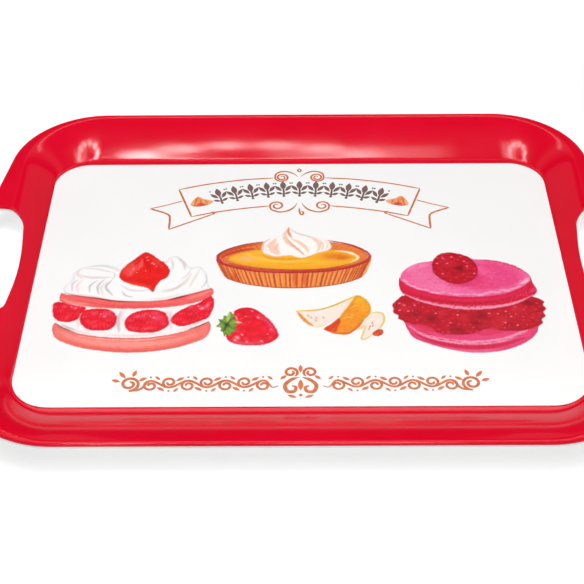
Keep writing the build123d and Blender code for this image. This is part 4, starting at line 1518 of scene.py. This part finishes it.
def ribbon_banner():
    """Arched ribbon with folded tails and curled crests, a row of bud sprigs and two pastries."""
    motif = Motif()
    for mirrored in (False, True):
        for points, width in (
            ([(72.4, 77.7), (61, 81.4), (50, 84.2), (33, 87.4), (15.8, 89)], 0.85),
            ([(72.4, 77.7), (63.5, 51.3)], 0.95),
            ([(63.5, 51.3), (50, 55.3), (34, 58.8), (17.6, 61.3)], 0.85),
            ([(69.4, 66.6), (79, 62.4), (88.3, 59)], 0.65),
            ([(88.3, 59), (82, 56.2), (77.4, 53.4), (76.1, 50), (76, 39.4)], 1.0),
            ([(76, 39.4), (63, 46.8), (51, 53.6)], 0.8),
            ([(51.2, 53.4), (50.2, 54.4), (50.8, 55.2), (52, 55.6)], 0.9),
        ):
            curved = len(points) > 2
            motif.pen(points, width, PEN_ORANGE, (0.5, 0.5), curved=curved, mirrored=mirrored)
        curl = list(spiral((10.6, 89.6), 4.3, 0.1, 1.95))
        curl += [(14.0, 93.4), (11.2, 95.4), (7.2, 95.4), (3.4, 93.2), (0.8, 90.2)]
        motif.pen(curl, 0.95, PEN_ORANGE, ends=(0.4, 0.2), mirrored=mirrored)
        curl = list(spiral((13.4, 61.4), 4.2, 0.4, -1.45))
        curl += [(16.4, 57.6), (11.6, 55.4), (6.2, 57), (3, 60.4), (1.4, 64.2)]
        motif.pen(curl, 0.95, PEN_ORANGE, ends=(0.4, 0.2), mirrored=mirrored)
    motif.pen([(0, 98.8), (-1, 96.6), (0, 95.2), (1, 96.6), (0, 98.6)], 0.8, PEN_ORANGE)
    motif.pen(
        [(-0.2, 59.2), (0, 55.4), (0.8, 52.8), (2.2, 53.6), (1.8, 55.6), (0.8, 56.2)], 0.9, PEN_ORANGE)

    def at(x, y):
        """Place in the banner of a point of the sprig that stands at the current angle."""
        foot = np.array((arc_radius * math.sin(angle), arc_top - arc_radius * (1 - math.cos(angle))))
        return foot + turned((x, y), -angle)

    arc_radius, arc_top, sprigs, spread = 168.0, 78.6, 11, 33.2
    for angle in np.radians(spread * np.arange(sprigs) / (sprigs - 1) - spread / 2).tolist():
        motif.pen([at(0, -6.6), at(0.15, -3), at(0, 0.4)], 1.0, PEN_BROWN, ends=(0.6, 0.8))
        motif.leaf(at(0, 3.0), 8.4, 3.6, math.pi / 2 - angle, PEN_BROWN)
        motif.dot(at(0, -7.4), 0.9, PEN_BROWN)
        for side in (-1, 1):
            motif.leaf(at(3.0 * side, 0.2), 6.6, 2.4, math.pi / 2 - angle - 0.62 * side, PEN_BROWN)
            motif.leaf(at(2.4 * side, -4.6), 4.6, 1.9, math.pi / 2 - angle - 1.10 * side, PEN_BROWN)
            motif.dot(at(4.4 * side, 5.2), 0.55, PEN_BROWN)
    for side in (-1, 1):
        bun = [
            (-64.6, 62.4), (-63.4, 67), (-60.6, 70.6), (-57.6, 68.6), (-54, 67.4), (-51.2, 66), (-53.6, 63),
            (-57, 61.6), (-61.4, 60.8),
        ]
        film = Film([(x * -side, y) for x, y in bun], (0.96, 0.72, 0.52), 0.3)
        film.dabs(
            (60.6 * side, 67.6, 3.2, 2.8, (0.94, 0.55, 0.25), 0.9),
            (58.4 * side, 63, 3.4, 1.8, (0.84, 0.24, 0.18), 0.95),
            (55 * side, 65.6, 2.4, 1.5, (0.92, 0.6, 0.44), 0.7),
        )
        for start, end in (
            ((61, 70), (62.4, 62.4)), ((58.6, 68), (58.8, 62.6)), ((56.4, 67.4), (54.6, 64)),
        ):
            line = [(start[0] * side, start[1]), (end[0] * side, end[1])]
            film.stroke(line, 0.8, (0.78, 0.36, 0.2), 0.5, 0.7)
        line = [(63.6 * side, 62), (59 * side, 61.4), (54.6 * side, 62.6)]
        film.stroke(line, 0.9, (0.66, 0.2, 0.16), 0.5, 0.7)
        motif.add_film(film)
    return motif


def scroll_flourish():
    """Vine scroll under the pastries, the same on both sides of a crest of curls and leaves."""
    motif = Motif()
    middle, pitch, curls, first = -87.2, 9.6, 7, 19.0
    for mirrored in (False, True):
        side = -1 if mirrored else 1
        vine = [(11.4, middle - 1.6), (14.6, middle - 2.4)]
        for index in range(curls):
            x, up = first + index * pitch, 1 if index % 2 == 0 else -1
            vine.append((x, middle + 2.4 * up))
            curl = spiral((x, middle - 1.2 * up), 3.6, -1.0 * up, 1.25 * up, inner=0.26)
            motif.pen(curl, 1.15, PEN_ORANGE, ends=(0.7, 0.35), mirrored=mirrored)
            motif.leaf(((x + 4.3) * side, middle + 3.5 * up), 4.8, 1.9, -0.55 * up * side, PEN_ORANGE)
            motif.leaf(((x - 3.4) * side, middle + 4.3 * up), 3.8, 1.5, 0.75 * up * side, PEN_ORANGE)
            motif.dot(((x + 0.2) * side, middle + 4.9 * up), 0.6, PEN_ORANGE)
        vine += [(81.4, middle - 3.4), (87, middle - 4.9)]
        motif.pen(vine, 1.1, PEN_ORANGE, ends=(0.3, 0.8), mirrored=mirrored)
        curl = spiral((87.4, middle + 0.1), 5.0, -1.75, 1.5, inner=0.24)
        motif.pen(curl, 1.3, PEN_ORANGE, ends=(0.6, 0.7), mirrored=mirrored)
        for x, y, length, angle in ((91.6, 6.6, 6.0, 0.9), (85.4, 7.6, 5.0, 1.9), (94.6, 2.4, 4.6, 0.3)):
            turn = math.pi - angle if mirrored else angle
            motif.leaf((x * side, middle + y), length, 2.1, turn, PEN_ORANGE)
        curl = spiral((5.0, -79.0), 3.6, 0.35, 1.3, inner=0.26)
        motif.pen(curl, 1.2, PEN_ORANGE, ends=(0.6, 0.3), mirrored=mirrored)
        foot = [
            (0.8, -82.6), (4.8, -84.4), (8.0, -88.4), (6.6, -92.8), (3.2, -92.6), (2.4, -89.8),
            (4.4, -88.8),
        ]
        motif.pen(foot, 1.3, PEN_ORANGE, ends=(0.15, 0.4), swell=0.35, mirrored=mirrored)
        motif.leaf((4.4 * side, -96.2), 5.0, 1.8, 0.35 * side, PEN_ORANGE)
        motif.leaf((8.8 * side, -82.6), 4.4, 1.8, -0.7 * side, PEN_ORANGE)
    motif.leaf((0, -88.2), 8.0, 2.8, math.pi / 2, PEN_ORANGE)
    motif.leaf((0, -76.4), 5.6, 2.2, math.pi / 2, PEN_ORANGE)
    motif.dot((0, -95.4), 0.9, PEN_ORANGE)
    return motif


# Piece, the node that it replaces, material slot, painter, and the ink's mottling: the size of its
# blotches and of its grain in millimetres, and how dark each is.
PRINTS = (
    ("banner_print", "print_banner", "ink_brown", ribbon_banner, (9.0, 0.9, 0.05, 0.06)),
    ("strawberry_cake_print", "print_strawberry_cake", "ink_red", strawberry_cake, (3.6, 0.9, 0.08, 0.06)),
    ("cream_tart_print", "print_cream_tart", "ink_orange", cream_tart, (3.4, 0.8, 0.06, 0.08)),
    ("raspberry_macaron_print", "print_raspberry_macaron", "ink_pink", raspberry_macaron,
     (3.6, 0.9, 0.10, 0.08)),
    ("strawberry_print", "print_strawberry", "ink_red", single_strawberry, (3.0, 0.8, 0.09, 0.08)),
    ("fruit_slices_print", "print_fruit_slices", "ink_orange", fruit_slices, (3.5, 0.8, 0.05, 0.06)),
    ("flourish_print", "print_flourish", "ink_orange", scroll_flourish, (6.0, 0.8, 0.06, 0.08)),
)
for name, node, slot, paint, mottling in PRINTS:
    paint().make(name, node, slot, watercolour(f"{name}_ink", *mottling))
